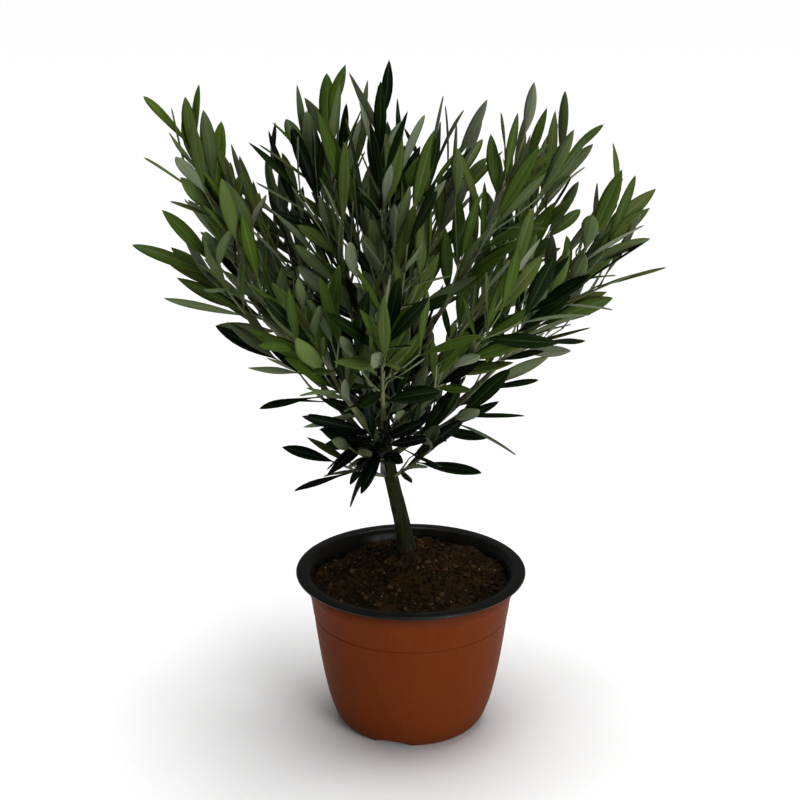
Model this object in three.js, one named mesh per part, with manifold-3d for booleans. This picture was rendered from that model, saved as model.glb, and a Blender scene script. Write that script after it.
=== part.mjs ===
// An olive bonsai: a leaning trunk with an open, upright crown, in a round two-tone plastic pot.
// Millimetres, +Z up. The origin is the centre of the pot's flat underside; the plant's front is -Y.

import * as THREE from 'three';
import { mergeVertices } from 'three/addons/utils/BufferGeometryUtils.js';
import Module from 'manifold-3d';

const CLEAR = 0.3; // gap left between neighbouring pieces
const WELD = 1e-4; // corners closer than this are one corner

// Finishes
const TERRACOTTA = { color: 0x7d3d20, roughness: 0.5 };
const BLACK_PLASTIC = { color: 0x1c1814, roughness: 0.35 };
const POTTING_SOIL = { color: 0x33281c, roughness: 0.95 };
const BARK = { color: 0x4d4a33, roughness: 0.9 };
const GREEN_WOOD = { color: 0x55583c, roughness: 0.85 };
const LEAVES = { color: 0x3a4a24, roughness: 0.5 };

// Pot wall: a terracotta bowl that swells from a small foot to a plain collar
const POT_SIDES = 28;
const SKIN = 0.9;
const FOOT_RADIUS = 44.5;
const FOOT_ROUND = 2.5;
const FOOT_BEVEL = 1;
const BOWL_RADIUS = 68;
const BOWL_HEIGHT = 82;
const BOWL_SWELL = 0.4; // exponent: below 1 the bowl swells fastest near its foot
const BOWL_RINGS = 6;
const RING_CROWDING = 2; // exponent: above 1 the rings lie closer near the foot
const GROOVE = 0.7;
const COLLAR_RADIUS = 70.4;
const COLLAR_HEIGHT = 98;
const BAND_RADIUS = 71.6;
const DRAIN_COUNT = 4;
const DRAIN_TURN = 255;
const DRAIN_WIDTH = 26;
const DRAIN_HEIGHT = 5.5;
const DRAIN_DEPTH = 14;
const DRAIN_SIDES = 6;

// Pot lip: a flat black flange with a rounded edge, and the skirt that lines the top of the bowl
const POT_HEIGHT = 113.5;
const LIP_RADIUS = 80;
const LIP_INNER_RADIUS = 72;
const LIP_THICK = 2.6;
const LIP_CROWN = 0.5;
const SKIRT_FOOT = 88;

// Soil: fills the pot to just under the lip and is heaped round the trunk
const SOIL_EDGE = 104.5;
const SOIL_RINGS = 4;
const HEAP_HEIGHT = 13;
const HEAP_SPREAD = 38;
const WAVE_HEIGHT = 1.6;
const WAVE_ACROSS = 7; // length of one radian of the soil's waves along X
const WAVE_DEEP = 8.75; // and along Y
const WAVE_START = 1;
const SOCKET_HEIGHT = 40;

// Trunk: measured from the middle of its foot at ground level
const FOOT_PLACE = new THREE.Vector3(-3, 18, 117);
const TRUNK_HEIGHT = 112;
const TRUNK_LEAN = 14.5;
const TRUNK_NOD = 10;
const TRUNK_STRAIGHT = 0.22; // share of the height that pulls straight up from the ground
const BOW_HEIGHT = 0.72; // height of the bow's pull, and how far it leans and nods past the top
const BOW_LEAN = 1.4;
const BOW_NOD = 0.9;
const TRUNK_RADIUS = 6;
const TRUNK_TOP_RADIUS = 3.9;
const ROOT_FLARE = 1.4;
const FLARE_FADE = 9;
const TRUNK_SIDES = 10;
const TRUNK_STEPS = 10;

// Shoots: each is one bent line, a bare bough for its first part and a leafy stem from there on.
// turn is the compass direction (0 is +X, 90 is +Y), rise the slope in degrees, reach the length;
// at is how far up its parent limb the shoot starts, from 0 at the foot to 1 at the end.
const SHOOTS = [
  { name: 'low_front', from: 'trunk', at: 0.64, turn: 236, rise: 28, reach: 56, bare: true },
  { name: 'low_right', from: 'trunk', at: 0.54, turn: 318, rise: 44, reach: 84, bare: true },
  { name: 'low_left', from: 'trunk', at: 0.55, turn: 208, rise: 22, reach: 46, bare: true },
  { name: 'left_mid', from: 'trunk', at: 0.62, turn: 182, rise: 60, reach: 258 },
  { name: 'left_under', from: 'left_mid', at: 0.62, turn: 234, rise: 40, reach: 58, bare: true },
  { name: 'left_low', from: 'left_mid', at: 0.9, turn: 190, rise: 51, reach: 130 },
  { name: 'right_low', from: 'trunk', at: 0.66, turn: 4, rise: 44, reach: 150 },
  { name: 'right_under', from: 'right_low', at: 0.7, turn: 322, rise: 28, reach: 62, bare: true },
  { name: 'right_mid', from: 'right_low', at: 0.5, turn: 350, rise: 52, reach: 215 },
  { name: 'back_left', from: 'trunk', at: 0.7, turn: 134, rise: 41, reach: 165 },
  { name: 'front_left', from: 'trunk', at: 0.73, turn: 240, rise: 50, reach: 155 },
  { name: 'back_right', from: 'trunk', at: 0.76, turn: 47, rise: 40, reach: 170 },
  { name: 'right_front', from: 'trunk', at: 0.79, turn: 318, rise: 50, reach: 170 },
  { name: 'left_top', from: 'trunk', at: 0.83, turn: 142, rise: 59, reach: 196 },
  { name: 'front', from: 'trunk', at: 0.85, turn: 270, rise: 42, reach: 155 },
  { name: 'back', from: 'trunk', at: 0.88, turn: 88, rise: 44, reach: 165 },
  { name: 'right_back', from: 'trunk', at: 0.91, turn: 22, rise: 52, reach: 215 },
  { name: 'centre_left', from: 'trunk', at: 0.94, turn: 206, rise: 79, reach: 208 },
  { name: 'centre', from: 'trunk', at: 1, turn: 270, rise: 86, reach: 201 },
  { name: 'right_top', from: 'centre', at: 0.25, turn: 354, rise: 62, reach: 194 },
  { name: 'front_mid', from: 'centre', at: 0.45, turn: 282, rise: 55, reach: 125 },
  { name: 'centre_back', from: 'centre', at: 0.65, turn: 115, rise: 60, reach: 140 },
  { name: 'centre_right', from: 'centre', at: 0.85, turn: 40, rise: 61, reach: 130 },
];
const BOUGH_SHARE = 0.32;
const UPTURN = 22;
const BOUGH_RADIUS = 1.9;
const BOUGH_SWELL = 0.005; // extra radius for each millimetre of reach
const STEM_RADIUS = 1.8;
const STEM_TIP_RADIUS = 1;
const BOUGH_SIDES = 5;
const BOUGH_STEPS = 3;
const STEM_SIDES = 3;
const STEM_STEPS = 4;

// Leaves: pairs along each stem, every pair turned a quarter from the one below
const INTERNODE = 18;
const FIRST_PAIR = 10;
const FIRST_PAIR_MOST = 1 / 3; // the first pair is never further along than this share
const PAIR_STEP = 2.5;
const PAIR_TURN = 90;
const TURN_PLAY = 40;
const LEAF_LENGTH = 52;
const LEAF_WIDTH = 12;
const LEAF_SHOULDER = 0.3;
const LEAF_THICK = 0.022;
const LEAF_OPEN = 48;
const OPEN_FADE = 0.2;
const END_OPEN = 26;
const END_SEAT = 1.5; // from a stem's end to the root of its last leaf
const LEAF_LIFT = 0.22;
const LEAF_ROLL = 40;
const LEAF_PLAY = 0.3; // how much leaves differ in size, as a share
const STEM_LEAF = 0.8; // size of a stem's end leaves
const STEM_LEAF_SWELL = 0.8;
const TWIG_LEAF = 0.7; // size of a twig's first leaves
const TWIG_LEAF_GAIN = 0.2;
const LEAF_APART = 9.5;
const TWIG_APART = 3;
const FOLDS = [1, 0.75, 0.5, 0.3]; // a leaf or twig with no room closes towards its stem
const TWISTS = [0, 35, -35]; // or turns to one side
const SPACE_EDGE = 0.8; // a mass keeps this far inside the halfway surface to its neighbours
const LIMB_EDGE = 1.2;

// Side twigs: grow from the leaf joints of a stem, shorter towards its tip
const TWIG_TOP = 0.7;
const TWIG_LENGTH = 48;
const TWIG_FADE = 0.5;
const TWIG_PLAY = 0.6;
const TWIG_OPEN = 44;
const TWIG_LIFT = 0.12;
const TWIG_FREE = 0.3; // share of a twig from its stem that may lie near a limb
const TWIG_RADIUS = 1.3;
const TWIG_TIP_RADIUS = 0.9;
const TWIG_SIDES = 3;
const TWIG_STEPS = 1;
const TWIG_INTERNODE = 16;

// Stretches that each line is cut into to measure distances from it
const TRUNK_TRACE = 10;
const SHOOT_TRACE = 12;
const BOUGH_TRACE = 6;
const TWIG_TRACE = 3;

const wasm = await Module();
wasm.setup();

const UP = new THREE.Vector3(0, 0, 1);

// Solids

function solidFrom(geometry) {
  const bare = geometry.clone();
  bare.deleteAttribute('normal');
  bare.deleteAttribute('uv');
  const merged = mergeVertices(bare, WELD);
  const corners = merged.index.array;
  const kept = [];
  for (let i = 0; i < corners.length; i += 3) {
    const [a, b, c] = [corners[i], corners[i + 1], corners[i + 2]];
    if (a !== b && b !== c && c !== a) {
      kept.push(a, b, c);
    }
  }
  const triVerts = new Uint32Array(kept);
  const vertProperties = merged.attributes.position.array;
  return new wasm.Manifold(new wasm.Mesh({ numProp: 3, vertProperties, triVerts }));
}

// The largest body alone: loose scraps go, and sealed hollows are filled.
function oneBody(solid) {
  const bodies = solid.decompose();
  return bodies.reduce((best, body) => (body.surfaceArea() > best.surfaceArea() ? body : best));
}

function meshFrom(name, solid, finish) {
  const made = solid.getMesh();
  const geometry = new THREE.BufferGeometry();
  geometry.setAttribute('position', new THREE.BufferAttribute(made.vertProperties.slice(), 3));
  geometry.setIndex(new THREE.BufferAttribute(made.triVerts.slice(), 1));
  geometry.computeVertexNormals();
  const mesh = new THREE.Mesh(geometry, new THREE.MeshStandardMaterial(finish));
  mesh.name = name;
  return mesh;
}

// A closed outline of [radius, height] corners turned about +Z.
function turned(outline) {
  const points = outline.map(([radius, height]) => new THREE.Vector2(radius, height));
  return new THREE.LatheGeometry(points, POT_SIDES).rotateX(Math.PI / 2);
}

// Pot and soil

function bowlRadius(height) {
  const swell = Math.pow(height / BOWL_HEIGHT, BOWL_SWELL);
  return FOOT_RADIUS + (BOWL_RADIUS - FOOT_RADIUS) * swell;
}

function wallRadius(height) {
  if (height <= BOWL_HEIGHT) {
    return bowlRadius(height);
  }
  const share = Math.min(1, (height - BOWL_HEIGHT) / (COLLAR_HEIGHT - BOWL_HEIGHT));
  return BOWL_RADIUS + (COLLAR_RADIUS - BOWL_RADIUS) * share;
}

function bowlHeights() {
  const heights = [];
  for (let i = 1; i <= BOWL_RINGS; i += 1) {
    heights.push(BOWL_HEIGHT * Math.pow(i / BOWL_RINGS, RING_CROWDING));
  }
  return heights;
}

// Every second ring, for the hidden faces inside the bowl.
function coarse(heights) {
  return heights.filter((_, i) => i % 2 === 1 && i < heights.length - 1);
}

function potWall() {
  const rings = bowlHeights();
  const wallTop = POT_HEIGHT - LIP_THICK - CLEAR;
  const outside = [
    [0, 0],
    [FOOT_RADIUS - FOOT_BEVEL, 0],
    ...rings.slice(0, -1).map((h) => [bowlRadius(h), h]),
    [BOWL_RADIUS, BOWL_HEIGHT - GROOVE],
    [BOWL_RADIUS - GROOVE, BOWL_HEIGHT],
    [BOWL_RADIUS + GROOVE / 2, BOWL_HEIGHT + GROOVE],
    [COLLAR_RADIUS, COLLAR_HEIGHT],
    [BAND_RADIUS, COLLAR_HEIGHT + GROOVE],
    [BAND_RADIUS, wallTop],
  ];
  const inside = [
    [COLLAR_RADIUS - SKIN, wallTop],
    [COLLAR_RADIUS - SKIN, COLLAR_HEIGHT],
    [BOWL_RADIUS - GROOVE - SKIN, BOWL_HEIGHT],
    ...coarse(rings).reverse().map((h) => [bowlRadius(h) - SKIN, h]),
    [FOOT_RADIUS - FOOT_ROUND, SKIN],
    [0, SKIN],
  ];
  let wall = solidFrom(turned([...outside, ...inside]));
  for (let i = 0; i < DRAIN_COUNT; i += 1) {
    wall = wall.subtract(drainSlot(DRAIN_TURN + (360 * i) / DRAIN_COUNT));
  }
  return wall;
}

// A low arch cut through the foot of the wall.
function drainSlot(turn) {
  const arch = new THREE.CylinderGeometry(1, 1, DRAIN_DEPTH, DRAIN_SIDES);
  arch.scale(DRAIN_WIDTH / 2, 1, DRAIN_HEIGHT);
  arch.translate(0, FOOT_RADIUS + FOOT_ROUND, 0);
  arch.rotateZ(THREE.MathUtils.degToRad(turn - 90));
  return solidFrom(arch);
}

function potLip() {
  const under = POT_HEIGHT - LIP_THICK;
  const skirtRadius = COLLAR_RADIUS - SKIN - CLEAR;
  const skirtFootRadius = wallRadius(SKIRT_FOOT) - SKIN - 2 * CLEAR;
  return solidFrom(
    turned([
      [skirtFootRadius - SKIN, SKIRT_FOOT],
      [skirtFootRadius, SKIRT_FOOT],
      [skirtRadius, COLLAR_HEIGHT],
      [skirtRadius, under],
      [LIP_RADIUS - LIP_THICK / 2, under],
      [LIP_RADIUS, under + LIP_THICK / 3],
      [LIP_RADIUS, POT_HEIGHT - LIP_THICK / 2],
      [LIP_RADIUS - LIP_THICK / 2, POT_HEIGHT - LIP_CROWN / 2],
      [(LIP_RADIUS + LIP_INNER_RADIUS) / 2, POT_HEIGHT],
      [LIP_INNER_RADIUS, POT_HEIGHT - LIP_CROWN],
      [skirtRadius - SKIN, under],
      [skirtRadius - SKIN, COLLAR_HEIGHT],
      [skirtFootRadius - SKIN, SKIRT_FOOT],
    ]),
  );
}

function groundHeight(x, y) {
  const away = Math.hypot(x - FOOT_PLACE.x, y - FOOT_PLACE.y) / HEAP_SPREAD;
  const heap = HEAP_HEIGHT * Math.exp(-away * away);
  const wave = Math.sin(x / WAVE_ACROSS + WAVE_START) * Math.cos(y / WAVE_DEEP);
  return SOIL_EDGE + heap + WAVE_HEIGHT * wave * Math.min(1, away);
}

function soilBody() {
  const low = SKIN + CLEAR;
  const topRadius = COLLAR_RADIUS - 2 * SKIN - 3 * CLEAR;
  const outline = [
    [0, low],
    [FOOT_RADIUS - FOOT_ROUND - CLEAR, low],
    ...coarse(bowlHeights()).map((h) => [bowlRadius(h) - SKIN - CLEAR, h]),
    [wallRadius(SKIRT_FOOT) - 2 * SKIN - 4 * CLEAR, SKIRT_FOOT - CLEAR],
    [topRadius, COLLAR_HEIGHT],
  ];
  for (let i = 0; i <= SOIL_RINGS; i += 1) {
    outline.push([topRadius * (1 - i / SOIL_RINGS), SOIL_EDGE]);
  }
  const geometry = turned(outline);
  const place = geometry.attributes.position;
  for (let i = 0; i < place.count; i += 1) {
    if (place.getZ(i) > SOIL_EDGE - CLEAR) {
      place.setZ(i, groundHeight(place.getX(i), place.getY(i)));
    }
  }
  return oneBody(solidFrom(geometry).subtract(trunkSocket()));
}

// The room that the soil leaves for the trunk's foot.
function trunkSocket() {
  const radius = TRUNK_RADIUS + ROOT_FLARE + 2 * CLEAR;
  const socket = new THREE.CylinderGeometry(radius, radius, SOCKET_HEIGHT, TRUNK_SIDES);
  socket.rotateX(Math.PI / 2);
  socket.translate(FOOT_PLACE.x, FOOT_PLACE.y, FOOT_PLACE.z + SOCKET_HEIGHT / 2 - CLEAR);
  return solidFrom(socket);
}

// Limbs

function heading(turn, rise) {
  const t = THREE.MathUtils.degToRad(turn);
  const r = THREE.MathUtils.degToRad(rise);
  return new THREE.Vector3(Math.cos(r) * Math.cos(t), Math.cos(r) * Math.sin(t), Math.sin(r));
}

// Position and directions at a share of a line; side is square to the plane the line bends in.
function frameAt(curve, side, share) {
  const along = curve.getTangent(share);
  const flat = side.clone().addScaledVector(along, -side.dot(along)).normalize();
  const across = flat.clone().cross(along);
  return { point: curve.getPoint(share), along, side: flat, across };
}

// A tapering limb along part of a line.
function limbSolid(curve, side, from, to, radiusAt, sides, steps) {
  const geometry = new THREE.CylinderGeometry(1, 1, 1, sides, steps);
  const place = geometry.attributes.position;
  for (let i = 0; i < place.count; i += 1) {
    const share = place.getY(i) + 0.5;
    const frame = frameAt(curve, side, from + (to - from) * share);
    const radius = radiusAt(share);
    const point = frame.point.clone();
    point.addScaledVector(frame.side, place.getX(i) * radius);
    point.addScaledVector(frame.across, place.getZ(i) * radius);
    place.setXYZ(i, point.x, point.y, point.z);
  }
  return solidFrom(geometry);
}

const trunkLine = new THREE.CubicBezierCurve3(
  new THREE.Vector3(0, 0, 0),
  new THREE.Vector3(0, 0, TRUNK_STRAIGHT * TRUNK_HEIGHT),
  new THREE.Vector3(-BOW_LEAN * TRUNK_LEAN, -BOW_NOD * TRUNK_NOD, BOW_HEIGHT * TRUNK_HEIGHT),
  new THREE.Vector3(-TRUNK_LEAN, -TRUNK_NOD, TRUNK_HEIGHT),
);
const trunkSide = new THREE.Vector3(1, 0, 0);

function taper(first, last) {
  return (share) => first + (last - first) * share;
}

function trunkSolid(extra) {
  const plain = taper(TRUNK_RADIUS, TRUNK_TOP_RADIUS);
  const flare = (share) => ROOT_FLARE * Math.exp((-share * TRUNK_HEIGHT) / FLARE_FADE);
  const radiusAt = (share) => plain(share) + flare(share) + extra;
  return limbSolid(trunkLine, trunkSide, 0, 1, radiusAt, TRUNK_SIDES, TRUNK_STEPS);
}

function boughSolid(shoot, extra) {
  const radiusAt = taper(shoot.boughRadius + extra, STEM_RADIUS + extra);
  return limbSolid(shoot.line, shoot.side, 0, shoot.woody, radiusAt, BOUGH_SIDES, BOUGH_STEPS);
}

// Works out each shoot's line from its row and its parent's line.
function layShoots() {
  const laid = new Map();
  SHOOTS.forEach((row, order) => {
    const parent = laid.get(row.from);
    const line = parent ? parent.line : trunkLine;
    const start = line.getPoint(parent ? row.at * parent.woody : row.at);
    if (!parent && row.at === 1) {
      start.z += CLEAR;
    }
    const half = row.reach / 2;
    const bend = start.clone().addScaledVector(heading(row.turn, row.rise - UPTURN / 2), half);
    const tip = bend.clone().addScaledVector(heading(row.turn, row.rise + UPTURN / 2), half);
    const shootLine = new THREE.QuadraticBezierCurve3(start, bend, tip);
    laid.set(row.name, {
      name: row.name,
      reach: row.reach,
      seed: order + 1,
      line: shootLine,
      trace: tracePoints(shootLine, 0, 1, SHOOT_TRACE),
      side: heading(row.turn + 90, 0),
      woody: row.bare ? 0 : BOUGH_SHARE,
      boughRadius: BOUGH_RADIUS + row.reach * BOUGH_SWELL,
    });
  });
  return [...laid.values()];
}

// Foliage

// A repeatable run of numbers from 0 to 1.
function seeded(seed) {
  const [spread, factor, step, range] = [7919, 1664525, 1013904223, 2 ** 32];
  let state = seed * spread;
  return () => {
    state = (state * factor + step) % range;
    return state / range;
  };
}

function tracePoints(line, from, to, count) {
  const points = [];
  for (let i = 0; i <= count; i += 1) {
    points.push(line.getPoint(from + ((to - from) * i) / count));
  }
  return points;
}

function distanceToTrace(point, trace) {
  let nearest = Infinity;
  for (let i = 0; i + 1 < trace.length; i += 1) {
    const step = trace[i + 1].clone().sub(trace[i]);
    const share = point.clone().sub(trace[i]).dot(step) / step.lengthSq();
    const foot = trace[i].clone().addScaledVector(step, Math.min(1, Math.max(0, share)));
    nearest = Math.min(nearest, foot.distanceTo(point));
  }
  return nearest;
}

// The least distance between two straight stretches.
function lineGap([a, b], [c, d]) {
  const first = new THREE.Line3(a, b);
  const second = new THREE.Line3(c, d);
  return Math.sqrt(first.distanceSqToLine3(second));
}

// A leaf at a joint of a stem: turn is round the stem, open is away from it, roll is about the rib.
function makeLeaf(frame, turn, open, size, roll) {
  const angle = THREE.MathUtils.degToRad(turn);
  const lean = THREE.MathUtils.degToRad(open);
  const radial = frame.side.clone().multiplyScalar(Math.cos(angle));
  radial.addScaledVector(frame.across, Math.sin(angle));
  const dir = frame.along.clone().multiplyScalar(Math.cos(lean));
  dir.addScaledVector(radial, Math.sin(lean)).addScaledVector(UP, LEAF_LIFT).normalize();
  const face = frame.along.clone().addScaledVector(dir, -frame.along.dot(dir)).normalize();
  face.applyAxisAngle(dir, THREE.MathUtils.degToRad(roll));
  const broad = dir.clone().cross(face);
  const length = LEAF_LENGTH * size;
  const width = LEAF_WIDTH * Math.sqrt(size);
  return { root: frame.point, dir, face, broad, length, width };
}

function leafPoint(leaf, along, across, lift) {
  return leaf.root
    .clone()
    .addScaledVector(leaf.dir, along * leaf.length)
    .addScaledVector(leaf.broad, (across * leaf.width) / 2)
    .addScaledVector(leaf.face, lift * leaf.length * LEAF_THICK);
}

function leafMidline(leaf) {
  return [leafPoint(leaf, LEAF_SHOULDER, 0, 0), leafPoint(leaf, 1, 0, 0)];
}

function leafCorners(leaf) {
  const corners = [leafPoint(leaf, 1, 0, 0)];
  for (const along of [LEAF_SHOULDER, 1 - LEAF_SHOULDER]) {
    corners.push(leafPoint(leaf, along, 1, 0), leafPoint(leaf, along, -1, 0));
  }
  return corners;
}

// A lance-shaped blade, pointed at both ends, with a raised rib down the middle: a three-sided prism
// whose top edge is the rib and whose other corners are the leaf's four shoulders.
function leafSolid(leaf) {
  const geometry = new THREE.CylinderGeometry(1, 1, 1, 3);
  const place = geometry.attributes.position;
  for (let i = 0; i < place.count; i += 1) {
    const across = Math.round(place.getX(i));
    const outer = place.getY(i) > 0;
    const shoulder = outer ? 1 - LEAF_SHOULDER : LEAF_SHOULDER;
    const ribEnd = outer ? 1 : 0;
    const point = across ? leafPoint(leaf, shoulder, across, -1) : leafPoint(leaf, ribEnd, 0, 0);
    place.setXYZ(i, point.x, point.y, point.z);
  }
  return solidFrom(geometry);
}

// One mass: a stem with side twigs, and the leaf pairs that find room on them.
function growMass(shoot, shoots, limbs) {
  const random = seeded(shoot.seed);
  const others = shoots.filter((other) => other !== shoot);
  const leaves = [];
  const twigs = [];
  const twigLeaf = (share) => TWIG_LEAF + TWIG_LEAF_GAIN * share;
  const stemLeaf = (share) => STEM_LEAF + STEM_LEAF_SWELL * share * (1 - share);

  const staysIn = (point) => {
    const own = distanceToTrace(point, shoot.trace);
    const free = others.every((other) => distanceToTrace(point, other.trace) > own + SPACE_EDGE);
    return free && limbs.every((limb) => distanceToTrace(point, limb.trace) > limb.radius + LIMB_EDGE);
  };
  const fits = (leaf, line) => {
    if (!leafCorners(leaf).every(staysIn)) {
      return false;
    }
    const mine = leafMidline(leaf);
    const clearOfTwig = (twig) => twig.line === line || lineGap(mine, twig.ends) > TWIG_APART;
    const clearOfLeaf = (other) => lineGap(mine, leafMidline(other)) > LEAF_APART;
    return twigs.every(clearOfTwig) && leaves.every(clearOfLeaf);
  };
  const setLeaf = (frame, turn, open, size, line) => {
    const roll = (random() * 2 - 1) * LEAF_ROLL;
    const grown = size * (1 + LEAF_PLAY * (random() - 0.5));
    for (const fold of FOLDS) {
      for (const twist of TWISTS) {
        const leaf = makeLeaf(frame, turn + twist, open * fold, grown, roll);
        if (fits(leaf, line)) {
          leaves.push(leaf);
          return;
        }
      }
    }
  };
  const setPairs = (line, side, from, length, spacing, sizeAt, twigsBelow) => {
    const first = Math.min(FIRST_PAIR, length * FIRST_PAIR_MOST);
    const count = Math.max(1, Math.floor((length - first) / spacing));
    for (let k = 0; k <= count; k += 1) {
      const share = k === count ? 1 - END_SEAT / length : (first + k * spacing) / length;
      const turn = k * PAIR_TURN + TURN_PLAY * (random() - 0.5);
      const frame = frameAt(line, side, from + (1 - from) * share);
      const facing = frameAt(line, side, from + (1 - from) * (share - PAIR_STEP / length));
      const open = k === count ? END_OPEN : LEAF_OPEN * (1 - OPEN_FADE * share);
      setLeaf(frame, turn, open, sizeAt(share), line);
      if (share < twigsBelow) {
        growTwig(facing, turn + 180, share);
      } else {
        setLeaf(facing, turn + 180, open, sizeAt(share), line);
      }
    }
  };
  const growTwig = (frame, turn, share) => {
    const length = TWIG_LENGTH * (1 - TWIG_FADE * share) * (1 + TWIG_PLAY * (random() - 0.5));
    for (const fold of FOLDS) {
      const aim = makeLeaf(frame, turn, TWIG_OPEN * fold, 1, 0);
      const bend = frame.point.clone().addScaledVector(aim.dir, length / 2);
      const tip = bend.clone().addScaledVector(aim.dir, length / 2);
      tip.addScaledVector(UP, length * TWIG_LIFT);
      const line = new THREE.QuadraticBezierCurve3(frame.point, bend, tip);
      if (tracePoints(line, TWIG_FREE, 1, TWIG_TRACE).every(staysIn)) {
        twigs.push({ line, side: aim.broad, ends: [frame.point, tip] });
        setPairs(line, aim.broad, 0, length, TWIG_INTERNODE, twigLeaf, 0);
        return;
      }
    }
  };

  const stemLength = shoot.reach * (1 - shoot.woody);
  setPairs(shoot.line, shoot.side, shoot.woody, stemLength, INTERNODE, stemLeaf, TWIG_TOP);
  return { leaves, twigs };
}

function massSolid(shoot, grown) {
  const stemFrom = shoot.woody + (shoot.woody ? CLEAR / shoot.reach : 0);
  const stemRadius = taper(STEM_RADIUS, STEM_TIP_RADIUS);
  const twigRadius = taper(TWIG_RADIUS, TWIG_TIP_RADIUS);
  const pieces = [limbSolid(shoot.line, shoot.side, stemFrom, 1, stemRadius, STEM_SIDES, STEM_STEPS)];
  for (const twig of grown.twigs) {
    pieces.push(limbSolid(twig.line, twig.side, 0, 1, twigRadius, TWIG_SIDES, TWIG_STEPS));
  }
  for (const leaf of grown.leaves) {
    pieces.push(leafSolid(leaf));
  }
  return wasm.Manifold.union(pieces);
}

// Assembly

function makePot() {
  const pot = new THREE.Group();
  pot.name = 'pot';
  pot.add(meshFrom('pot_wall', potWall(), TERRACOTTA));
  pot.add(meshFrom('pot_lip', potLip(), BLACK_PLASTIC));
  pot.add(meshFrom('soil', soilBody(), POTTING_SOIL));
  return pot;
}

// Each bough is cut clear of the limbs before it, and each mass clear of every limb.
function makeTree() {
  const tree = new THREE.Group();
  tree.name = 'tree';
  tree.position.copy(FOOT_PLACE);
  tree.add(meshFrom('trunk', trunkSolid(0), BARK));

  const shoots = layShoots();
  const limbs = [{ trace: tracePoints(trunkLine, 0, 1, TRUNK_TRACE), radius: TRUNK_RADIUS }];
  let taken = trunkSolid(CLEAR);
  for (const shoot of shoots.filter(({ woody }) => woody > 0)) {
    const bough = oneBody(boughSolid(shoot, 0).subtract(taken));
    tree.add(meshFrom('bough_' + shoot.name, bough, GREEN_WOOD));
    const trace = tracePoints(shoot.line, 0, shoot.woody, BOUGH_TRACE);
    limbs.push({ trace, radius: shoot.boughRadius });
    taken = taken.add(boughSolid(shoot, CLEAR));
  }
  for (const shoot of shoots) {
    const grown = growMass(shoot, shoots, limbs);
    const mass = oneBody(massSolid(shoot, grown).subtract(taken));
    tree.add(meshFrom('foliage_' + shoot.name, mass, LEAVES));
  }
  return tree;
}

const plant = new THREE.Group();
plant.name = 'olive_bonsai';
plant.add(makePot(), makeTree());

export default plant;
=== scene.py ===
"""An olive bonsai in a round two-tone nursery pot: bark, twigs, leaves, soil and plastic round the solids."""

import math
import random

import bmesh
import bpy
import numpy as np
from mathutils import Matrix, Vector, noise


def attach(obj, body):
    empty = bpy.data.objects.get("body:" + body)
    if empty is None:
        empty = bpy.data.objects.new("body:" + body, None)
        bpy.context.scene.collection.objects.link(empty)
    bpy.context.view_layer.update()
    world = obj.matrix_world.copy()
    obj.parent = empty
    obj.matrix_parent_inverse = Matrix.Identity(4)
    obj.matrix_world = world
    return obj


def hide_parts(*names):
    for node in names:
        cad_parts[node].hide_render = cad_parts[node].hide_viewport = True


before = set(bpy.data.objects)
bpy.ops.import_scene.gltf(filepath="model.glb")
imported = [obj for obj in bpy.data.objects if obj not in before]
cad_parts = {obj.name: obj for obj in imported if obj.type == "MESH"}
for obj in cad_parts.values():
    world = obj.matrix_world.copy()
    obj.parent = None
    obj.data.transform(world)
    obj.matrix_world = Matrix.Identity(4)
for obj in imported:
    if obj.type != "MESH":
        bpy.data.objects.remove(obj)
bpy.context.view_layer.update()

# Sizes below are millimetres, as on the solids; meshes are written in metres.
MM = 0.001
UP = np.array((0.0, 0.0, 1.0))

# Pot wall and lip. RINGS are the heights or shares at which an outline has a corner, and AXIS is the radius
# that stands for the pot's axis.
POT_SIDES = 160
SKIN = 0.9
FOOT_RADIUS = 44.5
FOOT_ROUND = 2.5
FOOT_BEVEL = 1.0
FOOT_FLAT = 3.0
FOOT_RISE = 0.05
BOWL_RADIUS = 68.0
BOWL_HEIGHT = 82.0
BOWL_SWELL = 0.4
BOWL_RINGS = 46
BOWL_RING_CROWDING = 1.5
BOWL_FIRST_RING = 0.35
BOWL_RING_SPAN = BOWL_HEIGHT - 1.6
BOWL_INNER_RINGS = np.linspace(BOWL_HEIGHT - 6, 4, 14)
GROOVE = 0.7
GROOVE_REACH = 0.8
GROOVE_FLAT = 0.3
GROOVE_START = 0.05
GROOVE_SIDE = 0.6
COLLAR_RADIUS = 70.4
COLLAR_HEIGHT = 98.0
COLLAR_RINGS = np.linspace(0.1, 0.95, 8)
COLLAR_EDGE = 0.5
BAND_RADIUS = 71.6
BAND_FOOT = 1.4
FOOT_LINES = (11.5, 13.6)
FOOT_LINE_DEPTH = 0.25
FOOT_LINE_WIDTH = 0.5
DRAIN_COUNT = 4
DRAIN_TURN = 255
DRAIN_WIDTH = 26.0
DRAIN_HEIGHT = 5.5
DRAIN_DEPTH = 14.0
DRAIN_SIDES = 24
DUST_HEIGHT = 22.0
POT_HEIGHT = 113.5
LIP_RADIUS = 80.0
LIP_INNER_RADIUS = 72.0
LIP_THICK = 2.6
LIP_CROWN = 0.5
LIP_CROWN_SHOWN = 0.6
LIP_FLAT = 4.0
LIP_DROP = 0.1
LIP_ROLL = np.radians(np.linspace(-80, 90, 14))
LIP_ROLL_HEIGHT = 0.92
LIP_TOP_RINGS = np.linspace(0.08, 1, 12)
LIP_INNER_EDGE = (0.6, 0.9)
SKIRT_TOP = 0.4
SKIRT_FOOT = 88.0
CLEAR = 0.3
AXIS = 0.01

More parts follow.
